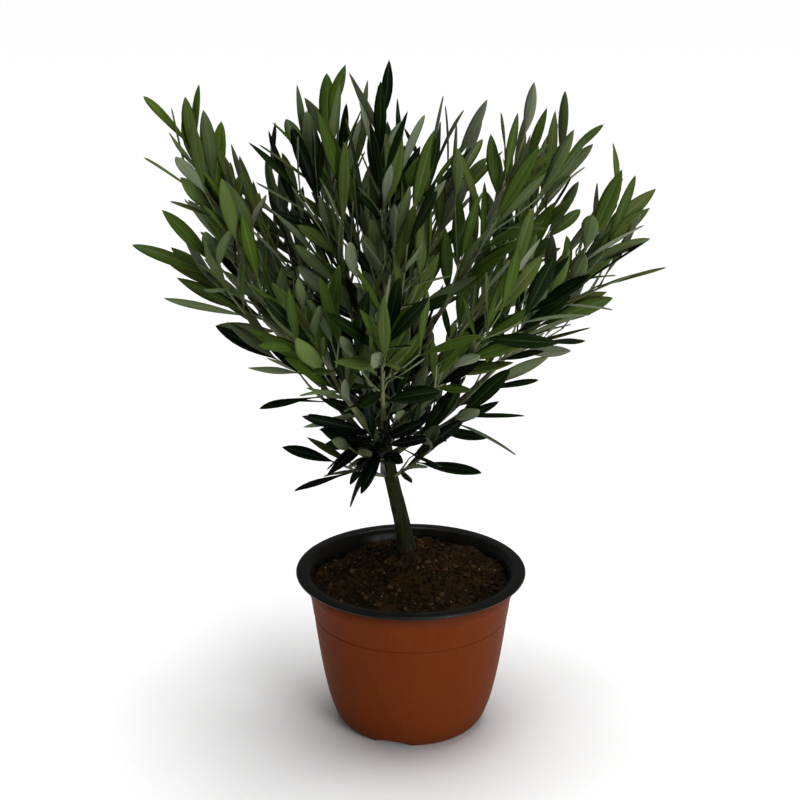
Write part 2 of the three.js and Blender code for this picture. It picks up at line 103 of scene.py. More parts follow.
# Soil: its bed, then the grains strewn over it, which are crumbs and grit
SOIL_RADIUS = COLLAR_RADIUS - 2 * SKIN - 3 * CLEAR
SOIL_EDGE = 104.5
SOIL_DEPTH = 14.0
SOIL_RINGS = 84
SOIL_SIDES = 200
HEAP_HEIGHT = 13.0
HEAP_SPREAD = 38.0
WAVE_HEIGHT = 1.6
WAVE_ACROSS = 7.0
WAVE_DEEP = 8.75
WAVE_START = 1.0
FOOT_HEAP = 3.3
FOOT_HEAP_SPREAD = 14.0
HOLLOW_PLACE = (-40.0, 34.0)
HOLLOW_DEPTH = 9.0
HOLLOW_SPREAD = 24.0
CLOD_HEIGHT = 1.5
CLOD_SIZE = 7.0
CLOD_LAYERS = (0.9, 2.0, 5)
CRUMB_COUNT = 2200
CRUMB_SIZE = (0.35, 1.9)
CRUMB_FLAT = 0.75
CRUMB_MIX = (5, 4, 2)
GRIT_COUNT = 46
GRIT_SIZE = (0.4, 1.0)
GRIT_FLAT = 0.9
GRAIN_SEED = 40
GRAIN_EDGE = 0.985
GRAIN_FEW_LARGE = 3
GRAIN_LONG = (0.7, 1.5)
GRAIN_WIDE = (0.7, 1.2)
GRAIN_LUMP = 0.35
GRAIN_LUMPS = 1.7
GRAIN_SHIFT = (0, 100)
GRAIN_RISE = 0.25

# Trunk
FOOT_PLACE = np.array((-3.0, 18.0, 117.0))
TRUNK_HEIGHT = 112.0
TRUNK_LEAN = 14.5
TRUNK_NOD = 10.0
TRUNK_STRAIGHT = 0.22
BOW_HEIGHT = 0.72
BOW_LEAN = 1.4
BOW_NOD = 0.9
TRUNK_RADIUS = 6.0
TRUNK_TOP_RADIUS = 3.9
ROOT_FLARE = 1.4
FLARE_FADE = 9.0
TRUNK_SIDES = 40
TRUNK_RINGS = 130

# Bark relief: how high, how many round the trunk and how long; the layers of noise are fade, step and count
RIDGE_HEIGHT = 0.32
RIDGES_ROUND = 2.2
RIDGE_LENGTH = 16.0
RIDGE_LAYERS = (1.0, 2.0, 4)
LUMP_HEIGHT = 0.5
LUMPS_ROUND = 0.8
LUMP_LENGTH = 24.0
LUMP_START = 7
ROOT_COUNT = 3
ROOT_TURN = 0.6
ROOT_SWELL = 0.35
BOUGH_SIDES = 14
BOUGH_RINGS = 36
BOUGH_RELIEF = 0.16
BOUGH_GRAIN = 5.0
BOUGH_LAYERS = (1.0, 2.0, 3)

# Shoots: name, parent, place on the parent, compass turn, rise, reach, and whether it has no bough
SHOOTS = (
    ("low_front", "trunk", 0.64, 236, 28, 56, True),
    ("low_right", "trunk", 0.54, 318, 44, 84, True),
    ("low_left", "trunk", 0.55, 208, 22, 46, True),
    ("left_mid", "trunk", 0.62, 182, 60, 258, False),
    ("left_under", "left_mid", 0.62, 234, 40, 58, True),
    ("left_low", "left_mid", 0.9, 190, 51, 130, False),
    ("right_low", "trunk", 0.66, 4, 44, 150, False),
    ("right_under", "right_low", 0.7, 322, 28, 62, True),
    ("right_mid", "right_low", 0.5, 350, 52, 215, False),
    ("back_left", "trunk", 0.7, 134, 41, 165, False),
    ("front_left", "trunk", 0.73, 240, 50, 155, False),
    ("back_right", "trunk", 0.76, 47, 40, 170, False),
    ("right_front", "trunk", 0.79, 318, 50, 170, False),
    ("left_top", "trunk", 0.83, 142, 59, 196, False),
    ("front", "trunk", 0.85, 270, 42, 155, False),
    ("back", "trunk", 0.88, 88, 44, 165, False),
    ("right_back", "trunk", 0.91, 22, 52, 215, False),
    ("centre_left", "trunk", 0.94, 206, 79, 208, False),
    ("centre", "trunk", 1, 270, 86, 201, False),
    ("right_top", "centre", 0.25, 354, 62, 194, False),
    ("front_mid", "centre", 0.45, 282, 55, 125, False),
    ("centre_back", "centre", 0.65, 115, 60, 140, False),
    ("centre_right", "centre", 0.85, 40, 61, 130, False),
)
BOUGH_SHARE = 0.32
UPTURN = 22
BOUGH_RADIUS = 1.9
BOUGH_SWELL = 0.005
STEM_RADIUS = 1.55
STEM_TIP_RADIUS = 0.6
STEM_SIDES = 8
STEM_RINGS = 14
TWIG_SIDES = 6
TWIG_RINGS = 5
TIP_BLUNT = 0.8

# Leaf pairs and side twigs, as on the solids. STEM stands for the stem where a twig's number is asked for,
# and each TRACE is the count of straight stretches that stand for a curve.
INTERNODE = 18.0
FIRST_PAIR = 10.0
FIRST_PAIR_MOST = 1 / 3
PAIR_STEP = 2.5
PAIR_TURN = 90
TURN_PLAY = 40
LEAF_LENGTH = 52.0
LEAF_WIDTH = 12.0
DRAWN_LENGTH = 1.07
DRAWN_WIDTH = 9.9
DRAWN_SWELL = 0.8
LEAF_SHOULDER = 0.3
LEAF_OPEN = 48
OPEN_FADE = 0.2
END_OPEN = 26
END_SEAT = 1.5
LEAF_LIFT = 0.22
LEAF_ROLL = 40
LEAF_PLAY = 0.3
STEM_LEAF = 0.8
STEM_LEAF_SWELL = 0.8
TWIG_LEAF = 0.7
TWIG_LEAF_GAIN = 0.2
LEAF_APART = 9.5
TWIG_APART = 3.0
FOLDS = (1, 0.75, 0.5, 0.3)
TWISTS = (0, 35, -35)
SPACE_EDGE = 0.8
LIMB_EDGE = 1.2
TWIG_TOP = 0.7
TWIG_LENGTH = 48.0
TWIG_FADE = 0.5
TWIG_PLAY = 0.6
TWIG_OPEN = 44
TWIG_LIFT = 0.12
TWIG_FREE = 0.3
TWIG_INTERNODE = 16.0
STEM = -1
TRUNK_TRACE = 10
SHOOT_TRACE = 12
BOUGH_TRACE = 6
TWIG_TRACE = 3

# How each kind of twig grows: spacing along its limb, length, opening from the limb, lift of its end, the
# share of it that may lie close to its limb, spacing and first and last size of its leaf pairs, its own
# first and last radius, and whether its leaves are old and shaded, which gives them the darkest tints,
# partly for age and partly as painted shade inside the crown
SIDE_TWIG = {
    "opening": TWIG_OPEN, "lift": TWIG_LIFT, "free": TWIG_FREE, "internode": TWIG_INTERNODE,
    "leaf": (TWIG_LEAF, TWIG_LEAF + TWIG_LEAF_GAIN), "radii": (0.85, 0.5), "old_shaded": False,
}
FINE_TWIG = {
    "spacing": 16.0, "length": 46.0, "opening": 34, "lift": 0.28, "free": TWIG_FREE, "internode": 17.0,
    "leaf": (0.86, 1.0), "radii": (0.65, 0.4), "old_shaded": False,
}
SPUR = {
    "spacing": 11.0, "length": 24.0, "opening": 46, "lift": 0.1, "free": TWIG_FREE, "internode": 12.0,
    "leaf": (0.8, 0.92), "radii": (0.65, 0.4), "old_shaded": True,
}
FORK_SPUR = {
    "spacing": 4.2, "length": 24.0, "opening": 78, "lift": 0.0, "free": 0.6, "internode": 10.0,
    "leaf": (0.78, 0.84), "radii": (0.7, 0.45), "old_shaded": True,
}

# Where the spurs grow, as shares of the bough and of the trunk. The trunk's lower share stays bare: the
# leaves at the fork keep this far from it.
BOUGH_SPURS = (0.08, 0.8)
FORK_SPURS = (0.6, 0.95)
BARE_TRUNK = 0.5
BARE_CLEAR = 30.0
FORK_LEAF_APART = 2.8
FORK_LEAF_LIFT = -0.35

# How far up its mass the finer growth goes, which masses have it to the tip, and which only on the stem
FINE_TOP = 0.78
FULL_MASSES = ("left_mid",)
OPEN_MASSES = ("left_top", "left_low", "centre_left", "right_mid", "right_back", "right_top", "right_front")
FINE_INSET = 1.0
FINE_LEAF_APART = 5.2
FINE_TWIG_APART = 1.6
SPUR_LEAF_APART = 3.4


# Small helpers

# Sockets that go by number: of the colour mix node, with its colour output, and of the range node
SHARE, FIRST, SECOND, MIXED = 0, 6, 7, 2
VALUE, FROM_LOW, FROM_HIGH, TO_LOW, TO_HIGH = range(5)


def linear(code):
    """An sRGB hex colour such as #663117 as linear RGBA."""
    channels = [int(code[i:i + 2], 16) / 255 for i in (1, 3, 5)]
    return [c / 12.92 if c <= 0.04045 else ((c + 0.055) / 1.055) ** 2.4 for c in channels] + [1.0]


def add(tree, kind, inputs=None, **settings):
    """Adds a node: inputs gives each socket a value, or another node and its output."""
    made = tree.nodes.new(kind)
    for name, value in settings.items():
        setattr(made, name, value)
    for socket, value in (inputs or {}).items():
        if isinstance(value, tuple) and isinstance(value[0], bpy.types.Node):
            tree.links.new(value[0].outputs[value[1]], made.inputs[socket])
        else:
            made.inputs[socket].default_value = value
    return made


def start_material(name):
    """An empty material, its node tree, and its place in object coordinates."""
    material = bpy.data.materials.new(name)
    material.use_nodes = True
    tree = material.node_tree
    tree.nodes.clear()
    place = add(tree, "ShaderNodeTexCoord")
    return material, tree, (place, "Object")


def end_material(tree, shader):
    """Links the finished shader to the material's surface."""
    add(tree, "ShaderNodeOutputMaterial", {"Surface": (shader, "BSDF")})


def tint_over(tree, base, code, pattern, between=(0.0, 1.0), share=(0.0, 1.0)):
    """Lays a tint over a base colour: as a pattern goes between two values, so does the tint's share."""
    strength = add(tree, "ShaderNodeMapRange", {
        VALUE: pattern, FROM_LOW: between[0], FROM_HIGH: between[1], TO_LOW: share[0], TO_HIGH: share[1]})
    mix = add(tree, "ShaderNodeMix", {
        SHARE: (strength, "Result"), FIRST: base, SECOND: linear(code)}, data_type="RGBA")
    return mix, MIXED


def per_mm(size):
    """Texture scale for features of this size in millimetres, on meshes in metres."""
    return 1 / (size * MM)


def unit(vectors):
    """The same directions with length 1."""
    return vectors / np.linalg.norm(vectors, axis=-1, keepdims=True)


def stand(name, data):
    """A camera, light or mesh as an object in the scene."""
    made = bpy.data.objects.new(name, data)
    bpy.context.scene.collection.objects.link(made)
    return made


class Pile:
    """Collects the corners, faces and material slots of many shapes for one joined mesh."""

    def __init__(self):
        self.places = []
        self.faces = []
        self.slots = []
        self.count = 0

    def put(self, places, faces, slots=None):
        """Adds one shape; its faces wear the first material unless slots says otherwise."""
        self.places.append(np.asarray(places))
        self.faces.extend([[corner + self.count for corner in face] for face in faces])
        self.slots.extend(slots or [0] * len(faces))
        self.count += len(places)

    def piece(self, name, materials, slot, nodes=()):
        """The joined mesh as one piece that rides on the part and stands for these solids."""
        mesh = bpy.data.meshes.new(name)
        mesh.from_pydata((np.vstack(self.places) * MM).tolist(), [], self.faces)
        worn = sorted(set(self.slots))
        for number in worn:
            mesh.materials.append(materials[number])
        mesh.polygons.foreach_set("material_index", [worn.index(number) for number in self.slots])
        mesh.polygons.foreach_set("use_smooth", [True] * len(self.faces))
        mesh.update()
        made = stand(name, mesh)
        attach(made, "root")
        if nodes:
            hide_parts(*nodes)
        return made


# Materials


def terracotta_polypropylene():
    """Thermoformed terracotta-coloured polypropylene: a satin skin, faintly cloudy where the sheet was
    stretched, with fine draw lines up the wall, soil dust near the foot and painted shade under the lip."""
    material, tree, place = start_material("terracotta_polypropylene")
    cloud = add(tree, "ShaderNodeTexNoise", {"Vector": place, "Scale": per_mm(30), "Detail": 4.0})
    colour = tint_over(tree, linear("#60290b"), "#6a2f0f", (cloud, "Fac"))
    stretch = add(tree, "ShaderNodeMapping", {"Vector": place, "Scale": (1.0, 1.0, 0.06)})
    draw = add(tree, "ShaderNodeTexNoise", {
        "Vector": (stretch, "Vector"), "Scale": per_mm(2.5), "Detail": 3.0})
    colour = tint_over(tree, colour, "#521d05", (draw, "Fac"), between=(0.45, 0.75), share=(0.0, 0.22))
    height = add(tree, "ShaderNodeSeparateXYZ", {"Vector": place})
    low = add(tree, "ShaderNodeMapRange", {
        VALUE: (height, "Z"), FROM_LOW: 0.0, FROM_HIGH: DUST_HEIGHT * MM, TO_LOW: 0.5, TO_HIGH: 0.0})
    speck = add(tree, "ShaderNodeTexNoise", {"Vector": place, "Scale": per_mm(5), "Detail": 6.0})
    dust = add(tree, "ShaderNodeMath", {0: (low, "Result"), 1: (speck, "Fac")}, operation="MULTIPLY")
    colour = tint_over(tree, colour, "#4a2a14", (dust, "Value"))
    # Painted shade: the band under the lip darkens towards the top, standing in for the shadow the lip casts.
    lip_shade_span = (COLLAR_HEIGHT * MM, POT_HEIGHT * MM)
    colour = tint_over(tree, colour, "#3a2010", (height, "Z"), between=lip_shade_span, share=(0.0, 0.8))
    rough = add(tree, "ShaderNodeMapRange", {
        VALUE: (cloud, "Fac"), FROM_LOW: 0.3, FROM_HIGH: 0.7, TO_LOW: 0.46, TO_HIGH: 0.58})
    ripple = add(tree, "ShaderNodeBump", {"Strength": 0.12, "Distance": 0.4 * MM, "Height": (draw, "Fac")})
    shader = add(tree, "ShaderNodeBsdfPrincipled", {
        "Base Color": colour, "Roughness": (rough, "Result"), "IOR": 1.49, "Specular IOR Level": 0.04,
        "Normal": (ripple, "Normal")})
    end_material(tree, shader)
    return material


def black_polypropylene():
    """The sheet's black inner layer: glossier than the outside, with a thin film of soil dust."""
    material, tree, place = start_material("black_polypropylene")
    film = add(tree, "ShaderNodeTexNoise", {"Vector": place, "Scale": per_mm(9), "Detail": 6.0})
    colour = tint_over(
        tree, linear("#0b0906"), "#1f1810", (film, "Fac"), between=(0.45, 0.8), share=(0.0, 0.3))
    rough = add(tree, "ShaderNodeMapRange", {
        VALUE: (film, "Fac"), FROM_LOW: 0.3, FROM_HIGH: 0.7, TO_LOW: 0.26, TO_HIGH: 0.46})
    grain = add(tree, "ShaderNodeTexNoise", {"Vector": place, "Scale": per_mm(1.2), "Detail": 3.0})
    skin = add(tree, "ShaderNodeBump", {"Strength": 0.08, "Distance": 0.2 * MM, "Height": (grain, "Fac")})
    shader = add(tree, "ShaderNodeBsdfPrincipled", {
        "Base Color": colour, "Roughness": (rough, "Result"), "IOR": 1.49, "Specular IOR Level": 0.2,
        "Normal": (skin, "Normal")})
    end_material(tree, shader)
    return material


def potting_mix():
    """Moist peat and composted bark: nearly black where damp, brown and fibrous where it has dried."""
    material, tree, place = start_material("potting_mix")
    patch = add(tree, "ShaderNodeTexNoise", {"Vector": place, "Scale": per_mm(16), "Detail": 5.0})
    colour = tint_over(tree, linear("#231a0b"), "#3f2d18", (patch, "Fac"), between=(0.4, 0.65))
    fibre = add(tree, "ShaderNodeTexVoronoi", {"Vector": place, "Scale": per_mm(1.8)})
    colour = tint_over(tree, colour, "#5a4125", (fibre, "Distance"), between=(0.05, 0.3), share=(0.5, 0.0))
    crumb = add(tree, "ShaderNodeTexNoise", {"Vector": place, "Scale": per_mm(1.6), "Detail": 6.0})
    relief = add(tree, "ShaderNodeBump", {"Strength": 0.8, "Distance": 0.9 * MM, "Height": (crumb, "Fac")})
    shader = add(tree, "ShaderNodeBsdfPrincipled", {
        "Base Color": colour, "Roughness": 0.95, "Specular IOR Level": 0.1, "Normal": (relief, "Normal")})
    end_material(tree, shader)
    return material


def olive_bark(name, furrow, ridge, moss_green, pore):
    """Olive bark: thin, grey-brown with a green cast, streaked lengthwise and dotted with pale pores; darker
    on the trunk than on the younger boughs, partly for its age and partly as painted shade under the crown."""
    material, tree, place = start_material(name)
    stretch = add(tree, "ShaderNodeMapping", {"Vector": place, "Scale": (1.0, 1.0, 0.16)})
    streak = add(tree, "ShaderNodeTexNoise", {
        "Vector": (stretch, "Vector"), "Scale": per_mm(2.2), "Detail": 6.0})
    colour = tint_over(tree, linear(furrow), ridge, (streak, "Fac"), between=(0.35, 0.65))
    moss = add(tree, "ShaderNodeTexNoise", {"Vector": place, "Scale": per_mm(14), "Detail": 4.0})
    colour = tint_over(tree, colour, moss_green, (moss, "Fac"), between=(0.45, 0.65), share=(0.0, 0.55))
    pores = add(tree, "ShaderNodeTexVoronoi", {"Vector": place, "Scale": per_mm(3.2)})
    colour = tint_over(tree, colour, pore, (pores, "Distance"), between=(0.1, 0.22), share=(0.6, 0.0))
    relief = add(tree, "ShaderNodeBump", {"Strength": 0.6, "Distance": 0.5 * MM, "Height": (streak, "Fac")})
    shader = add(tree, "ShaderNodeBsdfPrincipled", {
        "Base Color": colour, "Roughness": 0.82, "Specular IOR Level": 0.1, "Normal": (relief, "Normal")})
    end_material(tree, shader)
    return material


def fine_grained(name, code, roughness, gleam=0.25, grain=1.5, relief=0.25, felt=0.0):
    """The finish of small shapes that share a mesh: one plain tint for each shape, with its grain as relief
    in millimetres, which is drawn coarser than life so that it shows."""
    material, tree, place = start_material(name)
    pores = add(tree, "ShaderNodeTexNoise", {"Vector": place, "Scale": per_mm(grain), "Detail": 3.0})
    skin = add(tree, "ShaderNodeBump", {"Strength": relief, "Distance": 0.3 * MM, "Height": (pores, "Fac")})
    shader = add(tree, "ShaderNodeBsdfPrincipled", {
        "Base Color": linear(code), "Roughness": roughness, "IOR": 1.45, "Sheen Weight": felt,
        "Sheen Roughness": 0.5, "Specular IOR Level": gleam, "Normal": (skin, "Normal")})
    end_material(tree, shader)
    return material


def waxed_leaf(tint, code):
    """The leaf's upper side: leathery under a thin wax, so deep green with a dim, broad sheen."""
    return fine_grained("leaf_upper_" + tint, code, 0.42, gleam=0.045)


def felted_leaf(tint, code):
    """The leaf's underside: a felt of tiny scales, so grey-green, dull and a little paler seen edge-on."""
    return fine_grained("leaf_under_" + tint, code, 0.8, gleam=0.08, grain=0.8, felt=0.04)


def leaf_rib(tint, code):
    """Rib and stalk: smooth and paler than the blade, so a thin light line down the leaf."""
    return fine_grained("leaf_rib_" + tint, code, 0.5)


def stem_bark():
    """Last year's bark: grey-green and dry, with a faint roughness."""
    return fine_grained("stem_bark", "#666949", 0.75, gleam=0.15, relief=0.5)


def twig_bark():
    """This year's bark: paler and smoother than a stem's."""
    return fine_grained("twig_bark", "#6f7656", 0.65, gleam=0.15, relief=0.4)


def soil_crumb(kind, code, roughness):
    """Loose peat, bark or fibre: matt and earthy, and the paler the drier it is."""
    return fine_grained(kind + "_crumb", code, roughness, gleam=0.1, relief=0.6)


def pale_grit():
    """Small mineral grains: light specks on the dark soil."""
    return fine_grained("pale_grit", "#857c66", 0.8, relief=0.4)


# Leaf tints. Old leaves are the darkest, partly for their age and partly as painted shade inside and low
# in the crown, and a few sprays are young and yellow-green.
UPPER_TINTS = {
    "deep": "#030e02", "dark": "#0f1e06", "mid": "#394c19", "olive": "#475425", "young": "#43591a",
}
RIB_TINTS = {
    "deep": "#10200b", "dark": "#203112", "mid": "#455626", "olive": "#535e31", "young": "#597029",
    "under": "#5b6447",
}
UNDER_TINTS = {"grey": "#586445", "silver": "#6c755c", "green": "#4f5f36", "young": "#566a31"}

# Upper tint, under tint, and how many sprays in a hundred have them
SPRAY_MIX = (
    ("deep", "grey", 20),
    ("dark", "grey", 23),
    ("dark", "silver", 13),
    ("mid", "green", 26),
    ("olive", "silver", 18),
)
# A paler mix of tints, dealt to masses that lie mostly on the right of the crown.
PALER_MIX = (("deep", "grey", 12), ("dark", "grey", 14), ("mid", "green", 42), ("olive", "silver", 32))
PALER_MASSES = ("right_mid", "right_back", "right_top", "right_front", "centre_right", "left_mid")
YOUNG_SHARE = 0.12
YOUNG_MASSES = ("right_mid", "left_mid", "front_left", "centre", "right_top")
# Old leaves inside the crown and in its lowest masses: the darkest tints, partly for age and partly as
# painted shade where the crown shades itself.
OLD_SHADED_MIX = (("deep", "grey", 70), ("dark", "grey", 30))
OLD_SHADED_MASSES = ("low_front", "left_under")


# Lines and frames


def bezier(handles, shares):
    """Points on a Bezier line at shares from 0 to 1."""
    shares = np.atleast_1d(np.asarray(shares, float))[:, None]
    rows = np.repeat(np.asarray(handles, float)[:, None, :], len(shares), axis=1)
    while len(rows) > 1:
        rows = rows[:-1] * (1 - shares) + rows[1:] * shares
    return rows[0]


def frames_at(handles, side, shares):
    """Points, and the directions along, beside and across the line there."""
    along = unit(bezier(np.diff(handles, axis=0), shares))
    beside = unit(side - along * (along @ side)[:, None])
    return bezier(handles, shares), along, beside, np.cross(beside, along)


def frame_at(handles, side, share):
    """The same at one share."""
    return [rows[0] for rows in frames_at(handles, side, share)]


def heading(turn, rise):
    """The direction at this compass turn and rise, in degrees."""
    t, r = math.radians(turn), math.radians(rise)
    return np.array((math.cos(r) * math.cos(t), math.cos(r) * math.sin(t), math.sin(r)))


def taper(first, last):
    """A value that goes evenly from first to last as a share goes from 0 to 1."""
    return lambda share: first + (last - first) * share


def tube(handles, side, start, end, radius_at, sides, steps):
    """A tapering limb along part of a line, closed at both ends."""
    shares = np.linspace(0, 1, steps + 1)
    points, along, beside, across = frames_at(handles, side, start + (end - start) * shares)
    angles = np.arange(sides) * 2 * math.pi / sides
    round_way = (np.cos(angles)[None, :, None] * beside[:, None]
                 + np.sin(angles)[None, :, None] * across[:, None])
    radius = np.array([radius_at(share) for share in shares])
    rings = points[:, None] + radius[:, None, None] * round_way
    tip = points[-1] + along[-1] * radius[-1] * TIP_BLUNT
    places = np.vstack([rings.reshape(-1, 3), points[:1], tip[None]])
    foot, top = len(places) - 2, len(places) - 1
    faces = []
    for i in range(steps):
        for j in range(sides):
            k = (j + 1) % sides
            faces.append((i * sides + j, i * sides + k, (i + 1) * sides + k, (i + 1) * sides + j))
    for j in range(sides):
        k = (j + 1) % sides
        faces.append((k, j, foot))
        faces.append((steps * sides + j, steps * sides + k, top))
    return places, faces


# The tree's lines, by the same rule as the solids. The tree's own zero is the middle of the trunk's foot.

TRUNK_LINE = np.array((
    (0, 0, 0),
    (0, 0, TRUNK_STRAIGHT * TRUNK_HEIGHT),
    (-BOW_LEAN * TRUNK_LEAN, -BOW_NOD * TRUNK_NOD, BOW_HEIGHT * TRUNK_HEIGHT),
    (-TRUNK_LEAN, -TRUNK_NOD, TRUNK_HEIGHT),
))
TRUNK_SIDE = np.array((1.0, 0.0, 0.0))


def lay_shoots():
    """Every shoot's line, side, length of bough and bough radius, each from its row of SHOOTS."""
    laid = {}
    for order, (name, parent, at, turn, rise, reach, bare) in enumerate(SHOOTS):
        if parent == "trunk":
            start = bezier(TRUNK_LINE, at)[0] + (CLEAR * UP if at == 1 else 0)
        else:
            start = bezier(laid[parent]["line"], at * laid[parent]["woody"])[0]
        bend = start + heading(turn, rise - UPTURN / 2) * reach / 2
        tip = bend + heading(turn, rise + UPTURN / 2) * reach / 2
        line = np.array((start, bend, tip))
        laid[name] = {
            "name": name,
            "order": order,
            "reach": reach,
            "line": line,
            "trace": bezier(line, np.linspace(0, 1, SHOOT_TRACE + 1)),
            "side": heading(turn + 90, 0),
            "woody": 0 if bare else BOUGH_SHARE,
            "bough_radius": BOUGH_RADIUS + reach * BOUGH_SWELL,
        }
    return list(laid.values())


def seeded(seed):
    """A repeatable run of numbers from 0 to 1, the same as the solids' run."""
    spread, factor, step, size = 7919, 1664525, 1013904223, 2 ** 32
    state = seed * spread

    def draw():
        nonlocal state
        state = (state * factor + step) % size
        return state / size

    return draw


def distances(points, starts, steps):
    """How far each point is from each straight stretch."""
    apart = points[:, None] - starts[None]
    share = np.clip(np.einsum("nms,ms->nm", apart, steps) / np.einsum("ms,ms->m", steps, steps), 0, 1)
    return np.linalg.norm(apart - share[..., None] * steps[None], axis=2)


NEARLY_PARALLEL = 1e-9


def line_gaps(first, others):
    """The least distance from one straight stretch to each of many."""
    a, u = first[0], first[1] - first[0]
    b, v = others[:, 0], others[:, 1] - others[:, 0]
    r = a - b
    uu, vv = u @ u, np.einsum("ms,ms->m", v, v)
    uv, ur, vr = v @ u, r @ u, np.einsum("ms,ms->m", v, r)
    spread = uu * vv - uv * uv
    nearest = (uv * vr - ur * vv) / np.maximum(spread, NEARLY_PARALLEL)
    s = np.clip(np.where(spread > NEARLY_PARALLEL, nearest, 0), 0, 1)
    t = (uv * s + vr) / vv
    s = np.where(t < 0, np.clip(-ur / uu, 0, 1), np.where(t > 1, np.clip((uv - ur) / uu, 0, 1), s))
    t = np.clip(t, 0, 1)
    return np.linalg.norm(r + s[:, None] * u - t[:, None] * v, axis=1)


def make_leaf(joint, turn, opening, size, roll, lift=LEAF_LIFT):
    """A leaf at a joint of a stem: turn is round the stem, opening away from it, roll about the rib."""
    point, along, beside, across = joint
    angle, lean, tip = math.radians(turn), math.radians(opening), math.radians(roll)
    radial = beside * math.cos(angle) + across * math.sin(angle)
    way = unit(along * math.cos(lean) + radial * math.sin(lean) + UP * lift)
    face = unit(along - way * (along @ way))
    face = face * math.cos(tip) + np.cross(way, face) * math.sin(tip)
    return {
        "root": point,
        "way": way,
        "face": face,
        "broad": np.cross(way, face),
        "length": LEAF_LENGTH * size,
        "width": LEAF_WIDTH * math.sqrt(size),
        "drawn_length": LEAF_LENGTH * size * DRAWN_LENGTH,
        "drawn_width": DRAWN_WIDTH * size ** DRAWN_SWELL,
    }


def leaf_corners(leaf):
    """The tip, then the four shoulders."""
    corners = [leaf["root"] + leaf["way"] * leaf["length"]]
    for share in (LEAF_SHOULDER, 1 - LEAF_SHOULDER):
        middle = leaf["root"] + leaf["way"] * leaf["length"] * share
        corners.append(middle + leaf["broad"] * leaf["width"] / 2)
        corners.append(middle - leaf["broad"] * leaf["width"] / 2)
    return np.array(corners)


def leaf_midline(leaf):
    """The rib from the shoulder to the tip, by which leaves are kept apart."""
    reach = leaf["way"] * leaf["length"]
    return np.array((leaf["root"] + reach * LEAF_SHOULDER, leaf["root"] + reach))


